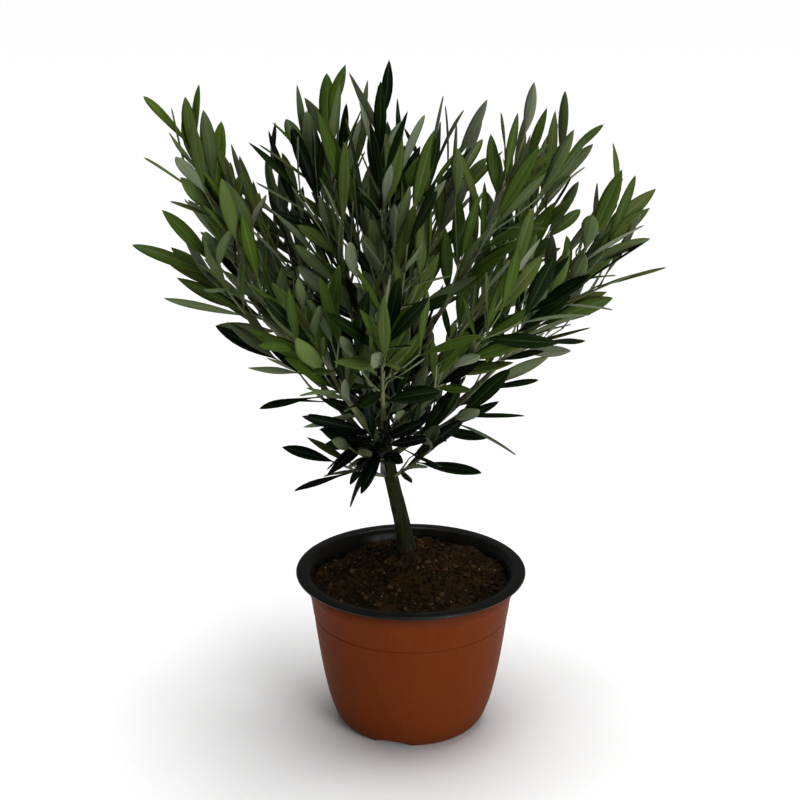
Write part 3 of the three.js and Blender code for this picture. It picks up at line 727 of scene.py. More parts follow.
class Mass:
    """One mass of foliage: a stem with side twigs and leaf pairs, then finer twigs where there is room."""

    def __init__(self, shoot, shoots, limbs, crown):
        self.shoot = shoot
        self.crown = crown
        self.own_space = True
        self.random = seeded(shoot["order"] + 1)
        traces = np.array([other["trace"] for other in shoots])
        self.starts = traces[:, :-1].reshape(-1, 3)
        self.steps = np.diff(traces, axis=1).reshape(-1, 3)
        self.limbs = limbs
        self.leaves = []
        self.midlines = []
        self.twigs = []
        self.twig_ends = []
        self.leaf_apart = LEAF_APART
        self.leaf_lift = LEAF_LIFT
        self.twig_apart = TWIG_APART
        self.reach = None
        self.stem_use = 0

    def set_reach(self):
        """Flat faces round the leaves grown so far, which the finer growth stays inside."""
        hull = bmesh.new()
        for corner in np.vstack([leaf_corners(leaf) for leaf in self.leaves]):
            hull.verts.new(corner)
        faces = [face for face in bmesh.ops.convex_hull(hull, input=hull.verts)["geom"]
                 if isinstance(face, bmesh.types.BMFace)]
        hull.normal_update()
        middle = np.mean([vert.co[:] for vert in hull.verts], axis=0)
        normals = np.array([face.normal[:] for face in faces])
        levels = np.array([face.normal.dot(face.verts[0].co) for face in faces])
        outward = np.sign(levels - normals @ middle)
        self.reach = normals * outward[:, None], levels * outward - FINE_INSET
        hull.free()

    def stays_in(self, points):
        """Whether points are inside the reach, nearest their own shoot, and clear of trunk and boughs."""
        if self.reach and not (points @ self.reach[0].T <= self.reach[1]).all():
            return False
        if self.own_space:
            apart = distances(points, self.starts, self.steps)
            apart = apart.reshape(len(points), -1, SHOOT_TRACE).min(2)
            own = apart[:, self.shoot["order"]].copy()
            apart[:, self.shoot["order"]] = np.inf
            if not (apart.min(1) > own + SPACE_EDGE).all():
                return False
        starts, steps, radii = self.limbs
        return bool((distances(points, starts, steps) > radii + LIMB_EDGE).all())

    def fits(self, leaf, twig):
        """Whether a leaf has room among the leaves and twigs that are there."""
        if not self.stays_in(leaf_corners(leaf)):
            return False
        mine = leaf_midline(leaf)
        beside = self.midlines if self.own_space else self.crown
        if beside and line_gaps(mine, np.array(beside)).min() <= self.leaf_apart:
            return False
        ends = [end for number, end in enumerate(self.twig_ends) if number != twig]
        return not ends or line_gaps(mine, np.array(ends)).min() > self.twig_apart

    def set_leaf(self, joint, turn, opening, size, twig, share):
        """Sets a leaf, folded nearer its stem or twisted where it has no room, or none at all."""
        roll = (self.random() * 2 - 1) * LEAF_ROLL
        grown = size * (1 + LEAF_PLAY * (self.random() - 0.5))
        for fold in FOLDS:
            for twist in TWISTS:
                leaf = make_leaf(joint, turn + twist, opening * fold, grown, roll, self.leaf_lift)
                if self.fits(leaf, twig):
                    leaf["spray"] = twig
                    self.note_use(twig, share)
                    self.leaves.append(leaf)
                    self.midlines.append(leaf_midline(leaf))
                    self.crown.append(leaf_midline(leaf))
                    return

    def note_use(self, twig, share):
        """Keeps how far along its stem or twig the last leaf or drawn twig is set."""
        if twig == STEM:
            self.stem_use = max(self.stem_use, share)
        else:
            self.twigs[twig]["use"] = max(self.twigs[twig]["use"], share)

    def set_pairs(self, line, side, start, length, spacing, size_at, twigs_below, twig):
        """Leaf pairs up a stem or twig, each a turn on from the last; low on a stem one of two is a twig."""
        first = min(FIRST_PAIR, length * FIRST_PAIR_MOST)
        count = max(1, math.floor((length - first) / spacing))
        for k in range(count + 1):
            share = 1 - END_SEAT / length if k == count else (first + k * spacing) / length
            turn = k * PAIR_TURN + TURN_PLAY * (self.random() - 0.5)
            joint = frame_at(line, side, start + (1 - start) * share)
            facing = frame_at(line, side, start + (1 - start) * (share - PAIR_STEP / length))
            opening = END_OPEN if k == count else LEAF_OPEN * (1 - OPEN_FADE * share)
            self.set_leaf(joint, turn, opening, size_at(share), twig, share)
            if share < twigs_below:
                grown = TWIG_LENGTH * (1 - TWIG_FADE * share) * (1 + TWIG_PLAY * (self.random() - 0.5))
                self.grow_twig(facing, turn + 180, grown, SIDE_TWIG, twig, share)
            else:
                self.set_leaf(facing, turn + 180, opening, size_at(share), twig, share)

    def grow_twig(self, joint, turn, length, habit, parent, share):
        """Grows a twig and its leaves, folded nearer its limb where it has no room, or none at all."""
        for fold in FOLDS:
            aim = make_leaf(joint, turn, habit["opening"] * fold, 1, 0)
            bend = joint[0] + aim["way"] * length / 2
            tip = bend + aim["way"] * length / 2 + UP * length * habit["lift"]
            line = np.array((joint[0], bend, tip))
            if self.stays_in(bezier(line, np.linspace(habit["free"], 1, TWIG_TRACE + 1))):
                self.twigs.append({"line": line, "side": aim["broad"], "length": length,
                                   "radii": habit["radii"], "old_shaded": habit["old_shaded"], "use": 0})
                self.twig_ends.append(np.array((joint[0], tip)))
                number = len(self.twigs) - 1
                leaf_size = taper(*habit["leaf"])
                self.set_pairs(line, aim["broad"], 0, length, habit["internode"], leaf_size, 0, number)
                if self.twigs[number]["use"]:
                    self.note_use(parent, share)
                return

    def grow(self):
        """The first growth, leaf for leaf as on the solids."""
        shoot = self.shoot
        stem_leaf = lambda share: STEM_LEAF + STEM_LEAF_SWELL * share * (1 - share)
        length = shoot["reach"] * (1 - shoot["woody"])
        self.set_pairs(shoot["line"], shoot["side"], shoot["woody"], length, INTERNODE, stem_leaf,
                       TWIG_TOP, STEM)

    def fill(self):
        """Finer twigs on the stem and on the twigs low on it, inside the reach of the first growth."""
        shoot = self.shoot
        self.set_reach()
        self.leaf_apart = FINE_LEAF_APART
        self.twig_apart = FINE_TWIG_APART
        share = 1 if shoot["name"] in FULL_MASSES else FINE_TOP
        top = shoot["woody"] + (1 - shoot["woody"]) * share
        twigs = [] if shoot["name"] in OPEN_MASSES else list(enumerate(self.twigs))
        length = shoot["reach"] * (top - shoot["woody"])
        self.set_between(shoot, (shoot["woody"], top), length, FINE_TWIG, STEM)
        for number, twig in twigs:
            self.set_between(twig, (0, share), twig["length"] * share, FINE_TWIG, number)

    def spur(self):
        """Short leafy spurs on the bough itself, in among its neighbours."""
        shoot = self.shoot
        self.reach = None
        self.own_space = False
        self.leaf_apart = SPUR_LEAF_APART
        part = [shoot["woody"] * share for share in BOUGH_SPURS]
        self.set_between(shoot, part, shoot["reach"] * (part[1] - part[0]), SPUR, STEM)

    def spur_fork(self):
        """Leafy spurs round the top of the trunk, which hide its fork and leave the trunk below bare."""
        self.reach = None
        self.own_space = False
        self.leaf_apart = FORK_LEAF_APART
        self.leaf_lift = FORK_LEAF_LIFT
        starts, steps, radii = self.limbs
        bare = np.arange(len(radii)) < BARE_TRUNK * TRUNK_TRACE
        self.limbs = starts, steps, np.where(bare, BARE_CLEAR, radii)
        trunk = {"line": TRUNK_LINE, "side": TRUNK_SIDE}
        length = TRUNK_HEIGHT * (FORK_SPURS[1] - FORK_SPURS[0])
        self.set_between(trunk, FORK_SPURS, length, FORK_SPUR, STEM)

    def set_between(self, limb, part, length, habit, parent):
        """Short twigs to both sides of part of a limb, spaced along it."""
        count = max(1, round(length / habit["spacing"]))
        for k in range(count):
            share = (k + 0.5) / count
            joint = frame_at(limb["line"], limb["side"], part[0] + (part[1] - part[0]) * share)
            turn = 360 * self.random()
            for way in (0, 180):
                grown = habit["length"] * (1 - TWIG_FADE * share) * (1 + TWIG_PLAY * (self.random() - 0.5))
                self.grow_twig(joint, turn + way, grown, habit, parent, share)


# Leaf shape

LEAF_ROWS = (0, 0.035, 0.075, 0.13, 0.22, 0.33, 0.45, 0.57, 0.69, 0.8, 0.89, 0.955)
LEAF_COLUMNS = (-1, -0.55, -0.07, 0.07, 0.55, 1)
PETIOLE = 0.07
PETIOLE_WIDTH = 0.1
PETIOLE_END = 0.5
BLADE_RISE = (0.9, 1.3)
BLADE_FALL = (0.72, 1.0)
BLADE_PLAY = (0.8, 1.22)
BLADE_THICK = 0.5
PETIOLE_THICK = 1.0
RIB_HEIGHT = 0.35
RIB_GROOVE = 0.12
RIB_REACH = 0.2
RIM_DROOP = 0.18
UPPER, UNDER, RIB, UNDER_RIB = range(4)

# How leaves differ, as middle and spread: bow along the rib, sweep to one side, turn of the tip in degrees
LEAF_BOW = (0.045, 0.05)
LEAF_SWEEP = (0, 0.025)
TIP_TURN = (0, 14)

# The same as least and most: fold up from the rib, and height and start of the rim's waves
LEAF_FOLD = (0.08, 0.34)
RIM_WAVE = (0, 0.1)
RIM_WAVE_START = (0, 6)
RIM_WAVES = 7


def blade_width(share, rise, fall):
    """Half width as a share of the leaf's greatest: a stalk, then a long oval with a short point."""
    blade = np.clip((share - PETIOLE) / (1 - PETIOLE), 0, 1)
    peak = rise / (rise + fall)
    full = peak ** rise * (1 - peak) ** fall
    stalk = PETIOLE_WIDTH * (share < PETIOLE_END)
    return np.maximum(blade ** rise * (1 - blade) ** fall / full, stalk)


def leaf_pattern():
    """One leaf's shares along and across, sides (1 above, -1 below, 0 on the rim), faces and their kinds."""
    along, across, side, index = [], [], [], {}
    last = len(LEAF_COLUMNS) - 1
    for i, row in enumerate(LEAF_ROWS):
        for j, column in enumerate(LEAF_COLUMNS):
            for way in (1, -1):
                if j in (0, last) and way < 0:
                    index[i, j, way] = index[i, j, 1]
                    continue
                index[i, j, way] = len(along)
                along.append(row)
                across.append(column)
                side.append(0 if j in (0, last) else way)
    tip = len(along)
    along.append(1)
    across.append(0)
    side.append(0)
    faces, kinds = [], []
    middle = last // 2
    for i, row in enumerate(LEAF_ROWS):
        for j in range(last):
            stalk = row < PETIOLE or j == middle
            for way in (1, -1):
                face = [index[i, j, way], index[i, j + 1, way]]
                if i + 1 < len(LEAF_ROWS):
                    face += [index[i + 1, j + 1, way], index[i + 1, j, way]]
                else:
                    face += [tip]
                faces.append(face if way > 0 else face[::-1])
                kinds.append((RIB if way > 0 else UNDER_RIB) if stalk else (UPPER if way > 0 else UNDER))
    rim = [index[0, j, -1] for j in range(last + 1)] + [index[0, j, 1] for j in range(last - 1, 0, -1)]
    faces.append(rim)
    kinds.append(RIB)
    return np.array(along), np.array(across), np.array(side), faces, kinds


ALONG, ACROSS, SIDE, LEAF_FACES, LEAF_KINDS = leaf_pattern()


def leaf_places(leaf, chance):
    """The leaf's corners: folded up from the rib, bowed along it, and turned a little towards the tip."""
    bow = chance.gauss(*LEAF_BOW)
    sweep = chance.gauss(*LEAF_SWEEP)
    fold = chance.uniform(*LEAF_FOLD)
    turn = math.radians(chance.gauss(*TIP_TURN)) * ALONG
    wave = chance.uniform(*RIM_WAVE) * np.sin(ALONG * RIM_WAVES + chance.uniform(*RIM_WAVE_START)) * ACROSS
    width = leaf["drawn_width"] * chance.uniform(*BLADE_PLAY)
    half = blade_width(ALONG, chance.uniform(*BLADE_RISE), chance.uniform(*BLADE_FALL)) * width / 2
    thick = np.where(ALONG < PETIOLE, PETIOLE_THICK, BLADE_THICK) / 2
    near_rib = np.abs(ACROSS) < RIB_REACH
    lift = np.abs(ACROSS) * half * fold - half * RIM_DROOP * ACROSS ** 4 + half * wave
    lift = lift + SIDE * thick
    lift = lift - np.where(near_rib & (SIDE > 0), RIB_GROOVE, 0)
    lift = lift - np.where(near_rib & (SIDE < 0), RIB_HEIGHT, 0)
    beside = ACROSS * half
    level = beside * np.cos(turn) - lift * np.sin(turn) + sweep * leaf["drawn_length"] * ALONG ** 2
    height = beside * np.sin(turn) + lift * np.cos(turn) - bow * leaf["drawn_length"] * ALONG ** 2
    return (
        leaf["root"]
        + leaf["way"] * (ALONG * leaf["drawn_length"])[:, None]
        + leaf["broad"] * level[:, None]
        + leaf["face"] * height[:, None]
    )


# Tree pieces


def make_limbs(shoots):
    """Straight stretches along the trunk and boughs, with their radii, to keep foliage clear of."""
    starts, steps, radii = [], [], []
    lines = [(TRUNK_LINE, 1, TRUNK_TRACE, TRUNK_RADIUS)]
    lines += [(s["line"], s["woody"], BOUGH_TRACE, s["bough_radius"]) for s in shoots if s["woody"]]
    for line, end, count, radius in lines:
        points = bezier(line, np.linspace(0, end, count + 1))
        starts.append(points[:-1])
        steps.append(np.diff(points, axis=0))
        radii += [radius] * count
    return np.vstack(starts), np.vstack(steps), np.array(radii)


def spray_tints(mass, chance):
    """An upper and an under tint for the leaves of each twig and, last, of the stem itself."""
    name = mass.shoot["name"]
    tints = []
    for old_shaded in [twig["old_shaded"] for twig in mass.twigs] + [False]:
        # Old, shaded sprays and the lowest masses take the darkest mix: painted shade as well as age.
        mix = OLD_SHADED_MIX if old_shaded or name in OLD_SHADED_MASSES else PALER_MIX if name in PALER_MASSES else SPRAY_MIX
        upper, under, _ = chance.choices(mix, [share for _, _, share in mix])[0]
        if name in YOUNG_MASSES and not old_shaded and chance.random() < YOUNG_SHARE:
            upper, under = "young", "young"
        tints.append((upper, under))
    return tints


def grow_masses(shoots, limbs):
    """All the masses: first growth, then finer twigs, then spurs at the fork and on the boughs."""
    crown = []
    masses = [Mass(shoot, shoots, limbs, crown) for shoot in shoots]
    for mass in masses:
        mass.grow()
    for mass in masses:
        mass.fill()
    masses[0].spur_fork()
    for mass in masses:
        if mass.shoot["woody"]:
            mass.spur()
    return masses


def make_leaves(mass, finishes):
    """One mass's leaves, each spray in its own tints."""
    name = mass.shoot["name"]
    number = {finish.name: order for order, finish in enumerate(finishes)}
    chance = random.Random(mass.shoot["order"])
    tints = spray_tints(mass, chance)
    leaves = Pile()
    for leaf in mass.leaves:
        upper, under = tints[leaf["spray"]]
        wear = {
            UPPER: number["leaf_upper_" + upper],
            UNDER: number["leaf_under_" + under],
            RIB: number["leaf_rib_" + upper],
            UNDER_RIB: number["leaf_rib_under"],
        }
        leaves.put(leaf_places(leaf, chance) + FOOT_PLACE, LEAF_FACES, [wear[kind] for kind in LEAF_KINDS])
    leaves.piece("leaves_" + name, finishes, "leaves", ["foliage_" + name])


def make_twigs(mass, barks):
    """One mass's stem and twigs, each as far as its last leaf."""
    shoot = mass.shoot
    twigs = Pile()
    end = shoot["woody"] + (1 - shoot["woody"]) * mass.stem_use
    radius = taper(STEM_RADIUS, STEM_TIP_RADIUS)
    places, faces = tube(shoot["line"], shoot["side"], shoot["woody"], end, radius, STEM_SIDES, STEM_RINGS)
    twigs.put(places + FOOT_PLACE, faces)
    for twig in [twig for twig in mass.twigs if twig["use"]]:
        radius = taper(*twig["radii"])
        places, faces = tube(twig["line"], twig["side"], 0, twig["use"], radius, TWIG_SIDES, TWIG_RINGS)
        twigs.put(places + FOOT_PLACE, faces, [1] * len(faces))
    twigs.piece("twigs_" + shoot["name"], barks, "bark")


def make_foliage(shoots):
    """Leaves and twigs of every mass, each kind in pieces of its own."""
    finishes = [waxed_leaf(tint, code) for tint, code in UPPER_TINTS.items()]
    finishes += [felted_leaf(tint, code) for tint, code in UNDER_TINTS.items()]
    finishes += [leaf_rib(tint, code) for tint, code in RIB_TINTS.items()]
    barks = [stem_bark(), twig_bark()]
    for mass in grow_masses(shoots, make_limbs(shoots)):
        make_leaves(mass, finishes)
        make_twigs(mass, barks)


def roughen(places, axis, sides, relief_at):
    """Moves each corner of a limb's rings out or in from its axis by the relief at its ring and side."""
    for i, middle in enumerate(axis):
        for j in range(sides):
            k = i * sides + j
            out = places[k] - middle
            places[k] = middle + out * (1 + relief_at(i, j, places[k]) / np.linalg.norm(out))


def make_trunk(bark):
    """The trunk, with ridged and lumpy bark and a few root swellings at its foot."""
    flare = lambda share: ROOT_FLARE * math.exp(-share * TRUNK_HEIGHT / FLARE_FADE)
    plain = taper(TRUNK_RADIUS, TRUNK_TOP_RADIUS)
    radius = lambda share: plain(share) + flare(share)

    def relief(i, j, _):
        angle = 2 * math.pi * j / TRUNK_SIDES
        height = TRUNK_HEIGHT * i / TRUNK_RINGS
        x, y = math.cos(angle), math.sin(angle)
        ridge = noise.fractal(
            Vector((x * RIDGES_ROUND, y * RIDGES_ROUND, height / RIDGE_LENGTH)), *RIDGE_LAYERS)
        lump = noise.noise(Vector((x * LUMPS_ROUND, y * LUMPS_ROUND, height / LUMP_LENGTH + LUMP_START)))
        root = max(0, math.cos(ROOT_COUNT * angle + ROOT_TURN)) * flare(i / TRUNK_RINGS) * ROOT_SWELL
        return RIDGE_HEIGHT * ridge + LUMP_HEIGHT * lump + root

    places, faces = tube(TRUNK_LINE, TRUNK_SIDE, 0, 1, radius, TRUNK_SIDES, TRUNK_RINGS)
    roughen(places, bezier(TRUNK_LINE, np.linspace(0, 1, TRUNK_RINGS + 1)), TRUNK_SIDES, relief)
    pile = Pile()
    pile.put(places + FOOT_PLACE, faces)
    pile.piece("trunk_bark", [bark], "bark", ["trunk"])


def make_boughs(shoots, bark):
    """All the boughs, with finer bark than the trunk's."""
    relief = lambda i, j, place: BOUGH_RELIEF * noise.fractal(Vector(place) / BOUGH_GRAIN, *BOUGH_LAYERS)
    woody = [shoot for shoot in shoots if shoot["woody"]]
    pile = Pile()
    for shoot in woody:
        line, end = shoot["line"], shoot["woody"]
        radius = taper(shoot["bough_radius"], STEM_RADIUS)
        places, faces = tube(line, shoot["side"], 0, end, radius, BOUGH_SIDES, BOUGH_RINGS)
        roughen(places, bezier(line, np.linspace(0, end, BOUGH_RINGS + 1)), BOUGH_SIDES, relief)
        pile.put(places + FOOT_PLACE, faces)
    pile.piece("bough_bark", [bark], "bark", ["bough_" + shoot["name"] for shoot in woody])


# Pot and soil


def turned(outline, sides):
    """A closed outline of radius and height turned about the pot's axis."""
    outline = np.array(outline)
    angles = np.arange(sides) * 2 * math.pi / sides
    places = np.stack([
        outline[:, 0][:, None] * np.cos(angles),
        outline[:, 0][:, None] * np.sin(angles),
        np.repeat(outline[:, 1][:, None], sides, axis=1),
    ], axis=2).reshape(-1, 3)
    faces = []
    count = len(outline)
    for i in range(count):
        n = (i + 1) % count
        for j in range(sides):
            k = (j + 1) % sides
            faces.append((i * sides + j, i * sides + k, n * sides + k, n * sides + j))
    return places, faces


def bowl_radius(height):
    """Outer radius of the bowl, which swells out quickly above the foot."""
    return FOOT_RADIUS + (BOWL_RADIUS - FOOT_RADIUS) * (height / BOWL_HEIGHT) ** BOWL_SWELL


def wall_outline():
    """Outside from the foot up, then inside back down: two faint foot lines, groove, collar and band."""
    top = POT_HEIGHT - LIP_THICK - CLEAR
    foot = [(AXIS, 0.0), (FOOT_RADIUS - FOOT_FLAT, 0.0), (FOOT_RADIUS - FOOT_BEVEL, FOOT_RISE)]
    bowl = []
    for height in BOWL_FIRST_RING + BOWL_RING_SPAN * np.linspace(0, 1, BOWL_RINGS) ** BOWL_RING_CROWDING:
        dip = sum(math.exp(-((height - line) / FOOT_LINE_WIDTH) ** 2) for line in FOOT_LINES)
        bowl.append((bowl_radius(height) - FOOT_LINE_DEPTH * dip, height))
    for line in FOOT_LINES:
        bowl.append((bowl_radius(line) - FOOT_LINE_DEPTH, line))
    bowl.sort(key=lambda corner: corner[1])
    groove = [
        (BOWL_RADIUS - GROOVE_START, BOWL_HEIGHT - GROOVE_REACH),
        (BOWL_RADIUS - GROOVE * GROOVE_SIDE, BOWL_HEIGHT - GROOVE_FLAT),
        (BOWL_RADIUS - GROOVE, BOWL_HEIGHT),
        (BOWL_RADIUS - GROOVE / 2, BOWL_HEIGHT + GROOVE_FLAT),
        (BOWL_RADIUS + GROOVE / 2, BOWL_HEIGHT + GROOVE_REACH),
    ]
    radius, height = groove[-1]
    collar = [(radius + (COLLAR_RADIUS - radius) * share, height + (COLLAR_HEIGHT - height) * share)
              for share in COLLAR_RINGS]
    collar += [
        (COLLAR_RADIUS, COLLAR_HEIGHT),
        (COLLAR_RADIUS + COLLAR_EDGE, COLLAR_HEIGHT + COLLAR_EDGE),
        (BAND_RADIUS, COLLAR_HEIGHT + BAND_FOOT),
        (BAND_RADIUS, top),
    ]
    inside = [
        (COLLAR_RADIUS - SKIN, top),
        (COLLAR_RADIUS - SKIN, COLLAR_HEIGHT),
        (BOWL_RADIUS - GROOVE - SKIN, BOWL_HEIGHT),
    ]
    inside += [(bowl_radius(height) - SKIN, height) for height in BOWL_INNER_RINGS]
    inside += [(FOOT_RADIUS - FOOT_ROUND, SKIN), (AXIS, SKIN)]
    return foot + bowl + groove + collar + inside


def lip_outline():
    """The skirt's outside up to the lip, round the lip's edge, over its top and down the skirt's inside."""
    under = POT_HEIGHT - LIP_THICK
    roll = LIP_THICK / 2
    skirt = COLLAR_RADIUS - SKIN - CLEAR
    skirt_share = (SKIRT_FOOT - BOWL_HEIGHT) / (COLLAR_HEIGHT - BOWL_HEIGHT)
    skirt_foot = BOWL_RADIUS + (COLLAR_RADIUS - BOWL_RADIUS) * skirt_share - SKIN - 2 * CLEAR
    outline = [
        (skirt_foot - SKIN, SKIRT_FOOT),
        (skirt_foot, SKIRT_FOOT),
        (skirt, COLLAR_HEIGHT),
        (skirt, under),
        (LIP_RADIUS - LIP_FLAT, under),
        (LIP_RADIUS - roll, under - LIP_DROP),
    ]
    for angle in LIP_ROLL:
        outline.append((LIP_RADIUS - roll + roll * math.cos(angle),
                        under + roll - LIP_DROP + roll * LIP_ROLL_HEIGHT * math.sin(angle)))
    for share in LIP_TOP_RINGS:
        crown = LIP_CROWN * (1 - (2 * share - 1) ** 2)
        outline.append((LIP_RADIUS - roll + (LIP_INNER_RADIUS - LIP_RADIUS + roll) * share,
                        POT_HEIGHT + (crown - LIP_CROWN) * LIP_CROWN_SHOWN))
    outline += [
        (LIP_INNER_RADIUS - LIP_INNER_EDGE[0], POT_HEIGHT - LIP_INNER_EDGE[1]),
        (skirt - SKIN, under - SKIRT_TOP),
        (skirt - SKIN, COLLAR_HEIGHT),
    ]
    return outline


def cut_drains(wall):
    """Low arches through the foot of the wall."""
    cutters = []
    for i in range(DRAIN_COUNT):
        mesh = bpy.data.meshes.new("drain")
        arch = bmesh.new()
        bmesh.ops.create_cone(
            arch, cap_ends=True, segments=DRAIN_SIDES, radius1=1, radius2=1, depth=DRAIN_DEPTH * MM)
        bmesh.ops.rotate(arch, verts=arch.verts, matrix=Matrix(((0, 0, 1), (0, 1, 0), (-1, 0, 0))))
        bmesh.ops.scale(arch, verts=arch.verts, vec=(1, DRAIN_WIDTH / 2 * MM, DRAIN_HEIGHT * MM))
        arch.to_mesh(mesh)
        arch.free()
        cutter = stand("drain", mesh)
        turn = math.radians(DRAIN_TURN + 360 * i / DRAIN_COUNT)
        away = (FOOT_RADIUS + FOOT_ROUND) * MM
        cutter.location = (away * math.cos(turn), away * math.sin(turn), 0)
        cutter.rotation_euler = (0, 0, turn)
        cutters.append(cutter)
        modifier = wall.modifiers.new("drain", "BOOLEAN")
        modifier.object = cutter
        modifier.operation = "DIFFERENCE"
        modifier.solver = "EXACT"
    bpy.context.view_layer.update()
    cut = bpy.data.meshes.new_from_object(wall.evaluated_get(bpy.context.evaluated_depsgraph_get()))
    wall.modifiers.clear()
    wall.data = cut
    for cutter in cutters:
        bpy.data.objects.remove(cutter)


def make_pot():
    """The terracotta wall with its drains, and the black lip and lining."""
    wall = Pile()
    wall.put(*turned(wall_outline(), POT_SIDES))
    cut_drains(wall.piece("pot_shell", [terracotta_polypropylene()], "terracotta_plastic", ["pot_wall"]))
    lip = Pile()
    lip.put(*turned(lip_outline(), POT_SIDES))
    lip.piece("pot_lining", [black_polypropylene()], "black_plastic", ["pot_lip"])


def ground_height(x, y):
    """The soil's surface: heaped round the trunk, gently waved, hollow in one place, and cloddy."""
    from_trunk = math.hypot(x - FOOT_PLACE[0], y - FOOT_PLACE[1])
    away = from_trunk / HEAP_SPREAD
    heap = HEAP_HEIGHT * math.exp(-away * away)
    foot_heap = FOOT_HEAP * math.exp(-(from_trunk / FOOT_HEAP_SPREAD) ** 2)
    wave = math.sin(x / WAVE_ACROSS + WAVE_START) * math.cos(y / WAVE_DEEP)
    hollow = math.hypot(x - HOLLOW_PLACE[0], y - HOLLOW_PLACE[1]) / HOLLOW_SPREAD
    clod = noise.fractal(Vector((x / CLOD_SIZE, y / CLOD_SIZE, 0)), *CLOD_LAYERS)
    height = SOIL_EDGE + heap + foot_heap + WAVE_HEIGHT * wave * min(1, away)
    return height - HOLLOW_DEPTH * math.exp(-hollow * hollow) + CLOD_HEIGHT * clod


def make_soil_bed():
    """The soil's surface in rings from the middle out, closed below."""
    angles = [2 * math.pi * j / SOIL_SIDES for j in range(SOIL_SIDES)]
    places = [(0.0, 0.0, ground_height(0, 0))]
    for i in range(1, SOIL_RINGS + 1):
        radius = SOIL_RADIUS * i / SOIL_RINGS
        for angle in angles:
            x, y = radius * math.cos(angle), radius * math.sin(angle)
            places.append((x, y, ground_height(x, y)))
    for angle in angles:
        x, y = SOIL_RADIUS * math.cos(angle), SOIL_RADIUS * math.sin(angle)
        places.append((x, y, COLLAR_HEIGHT - SOIL_DEPTH))
    faces = [(0, 1 + j, 1 + (j + 1) % SOIL_SIDES) for j in range(SOIL_SIDES)]
    for i in range(SOIL_RINGS):
        a, b = 1 + i * SOIL_SIDES, 1 + (i + 1) * SOIL_SIDES
        for j in range(SOIL_SIDES):
            k = (j + 1) % SOIL_SIDES
            faces.append((a + j, b + j, b + k, a + k))
    faces.append([1 + SOIL_RINGS * SOIL_SIDES + j for j in range(SOIL_SIDES - 1, -1, -1)])
    bed = Pile()
    bed.put(places, faces)
    bed.piece("soil_bed", [potting_mix()], "potting_soil", ["soil"])


def grain_ball():
    """Corners and faces of a round grain, before it is made lumpy."""
    ball = bmesh.new()
    bmesh.ops.create_icosphere(ball, subdivisions=2, radius=1)
    places = np.array([vert.co[:] for vert in ball.verts])
    faces = [[vert.index for vert in face.verts] for face in ball.faces]
    ball.free()
    return places, faces


def strew(chance, count, sizes, flat, mix):
    """Lumpy grains strewn over the soil, a few of them large, in the materials that mix deals out."""
    ball, faces = grain_ball()
    least, most = sizes
    pile = Pile()
    for _ in range(count):
        away = SOIL_RADIUS * GRAIN_EDGE * math.sqrt(chance.random())
        angle = chance.uniform(0, 2 * math.pi)
        x, y = away * math.cos(angle), away * math.sin(angle)
        size = least + (most - least) * chance.random() ** GRAIN_FEW_LARGE
        stretch = np.array((chance.uniform(*GRAIN_LONG), chance.uniform(*GRAIN_WIDE), flat)) * size
        shift = Vector((chance.uniform(*GRAIN_SHIFT), 0, 0))
        lumps = np.array([noise.noise(Vector(spot) * GRAIN_LUMPS + shift) for spot in ball])
        turn = chance.uniform(0, 2 * math.pi)
        c, s = math.cos(turn), math.sin(turn)
        spin = np.array(((c, s, 0), (-s, c, 0), (0, 0, 1)))
        shape = (ball * (1 + GRAIN_LUMP * lumps)[:, None] * stretch) @ spin
        tint = chance.choices(range(len(mix)), mix)[0] if len(mix) > 1 else 0
        pile.put(shape + (x, y, ground_height(x, y) + GRAIN_RISE * size), faces, [tint] * len(faces))
    return pile


def make_soil_grains():
    """Loose crumbs of peat, bark and fibre, and a little pale grit."""
    chance = random.Random(GRAIN_SEED)
    crumbs = strew(chance, CRUMB_COUNT, CRUMB_SIZE, CRUMB_FLAT, CRUMB_MIX)
    grit = strew(chance, GRIT_COUNT, GRIT_SIZE, GRIT_FLAT, (1,))
    peat = soil_crumb("peat", "#241a0e", 0.95)
    bark = soil_crumb("bark", "#332313", 0.9)
    fibre = soil_crumb("fibre", "#523c24", 0.9)
    crumbs.piece("soil_crumbs", [peat, bark, fibre], "potting_soil")
    grit.piece("soil_grit", [pale_grit()], "potting_soil")


# Studio: the camera in millimetres, degrees and pixels, the lights and floor in metres and degrees

CAMERA_PLACE = (-7.54, -950.0, 540.4)
CAMERA_PITCH = 17.77
CAMERA_SIGHT = 100.0
FOCAL_PIXELS = 1481.7
PICTURE_SIDE = 800
SENSOR = 36.0
ROOM_LIGHT = 0.15
TOP_LIGHT = 2.85
TOP_LIGHT_SPREAD = 40
TOP_LIGHT_TILT = (-5, 2, 0)
SIDE_LIGHT = 22
SIDE_LIGHT_SIZE = 0.9
SIDE_LIGHT_PLACE = (1.15, -1.65, 0.6)
SIDE_LIGHT_AIM = (0, 0, 0.25)
FLOOR_REACH = 30


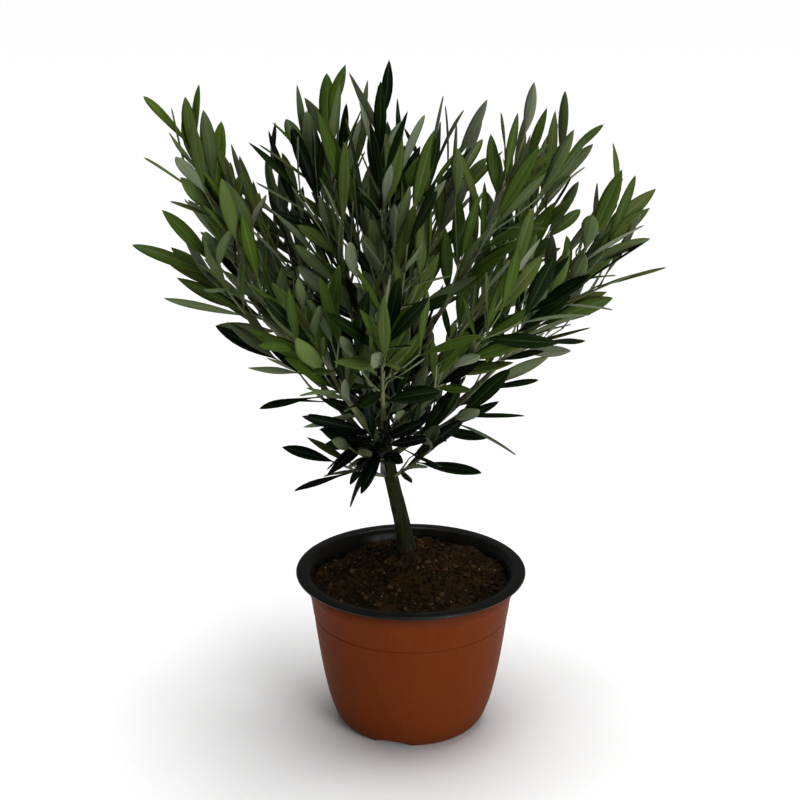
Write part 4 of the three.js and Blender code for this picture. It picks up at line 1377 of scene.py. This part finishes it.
def make_camera():
    """The camera that sees the tree as the photo does."""
    lens = bpy.data.cameras.new("camera")
    lens.sensor_width = SENSOR
    lens.lens = FOCAL_PIXELS * SENSOR / PICTURE_SIDE
    lens.clip_end = CAMERA_SIGHT
    camera = stand("camera", lens)
    camera.location = [c * MM for c in CAMERA_PLACE]
    camera.rotation_euler = (math.radians(90 - CAMERA_PITCH), 0, 0)
    bpy.context.scene.camera = camera


def make_lights():
    """A broad softbox overhead, a smaller one to the right of the camera, and a pale room."""
    world = bpy.data.worlds.new("studio")
    world.use_nodes = True
    room = world.node_tree.nodes["Background"].inputs
    room["Color"].default_value = (1, 1, 1, 1)
    room["Strength"].default_value = ROOM_LIGHT
    bpy.context.scene.world = world

    top = bpy.data.lights.new("softbox", "SUN")
    top.energy = TOP_LIGHT
    top.angle = math.radians(TOP_LIGHT_SPREAD)
    stand("softbox", top).rotation_euler = [math.radians(tilt) for tilt in TOP_LIGHT_TILT]

    side = bpy.data.lights.new("side_softbox", "AREA")
    side.energy = SIDE_LIGHT
    side.size = SIDE_LIGHT_SIZE
    softbox = stand("side_softbox", side)
    softbox.location = SIDE_LIGHT_PLACE
    softbox.rotation_euler = (Vector(SIDE_LIGHT_AIM) - softbox.location).to_track_quat("-Z", "Y").to_euler()


def make_floor():
    """A plain, pale studio floor."""
    material, tree, _ = start_material("pale_floor")
    shader = add(tree, "ShaderNodeBsdfPrincipled", {"Base Color": linear("#fdfdfd"), "Roughness": 0.9})
    end_material(tree, shader)
    mesh = bpy.data.meshes.new("floor")
    corners = [(x * FLOOR_REACH, y * FLOOR_REACH, 0) for x, y in ((-1, -1), (1, -1), (1, 1), (-1, 1))]
    mesh.from_pydata(corners, [], [(0, 1, 2, 3)])
    mesh.materials.append(material)
    floor = stand("floor", mesh)


bpy.context.scene.view_settings.view_transform = "Standard"
make_camera()
make_lights()
make_floor()
make_pot()
make_soil_bed()
make_soil_grains()
tree_shoots = lay_shoots()
# The trunk's bark is drawn much darker than the boughs': partly older bark, partly painted shade under the
# crown.
make_trunk(olive_bark("trunk_bark", "#121304", "#292b14", "#1d230b", "#3b3b25"))
make_boughs(tree_shoots, olive_bark("bough_bark", "#383c25", "#5a5f42", "#434b2b", "#696a50"))
make_foliage(tree_shoots)
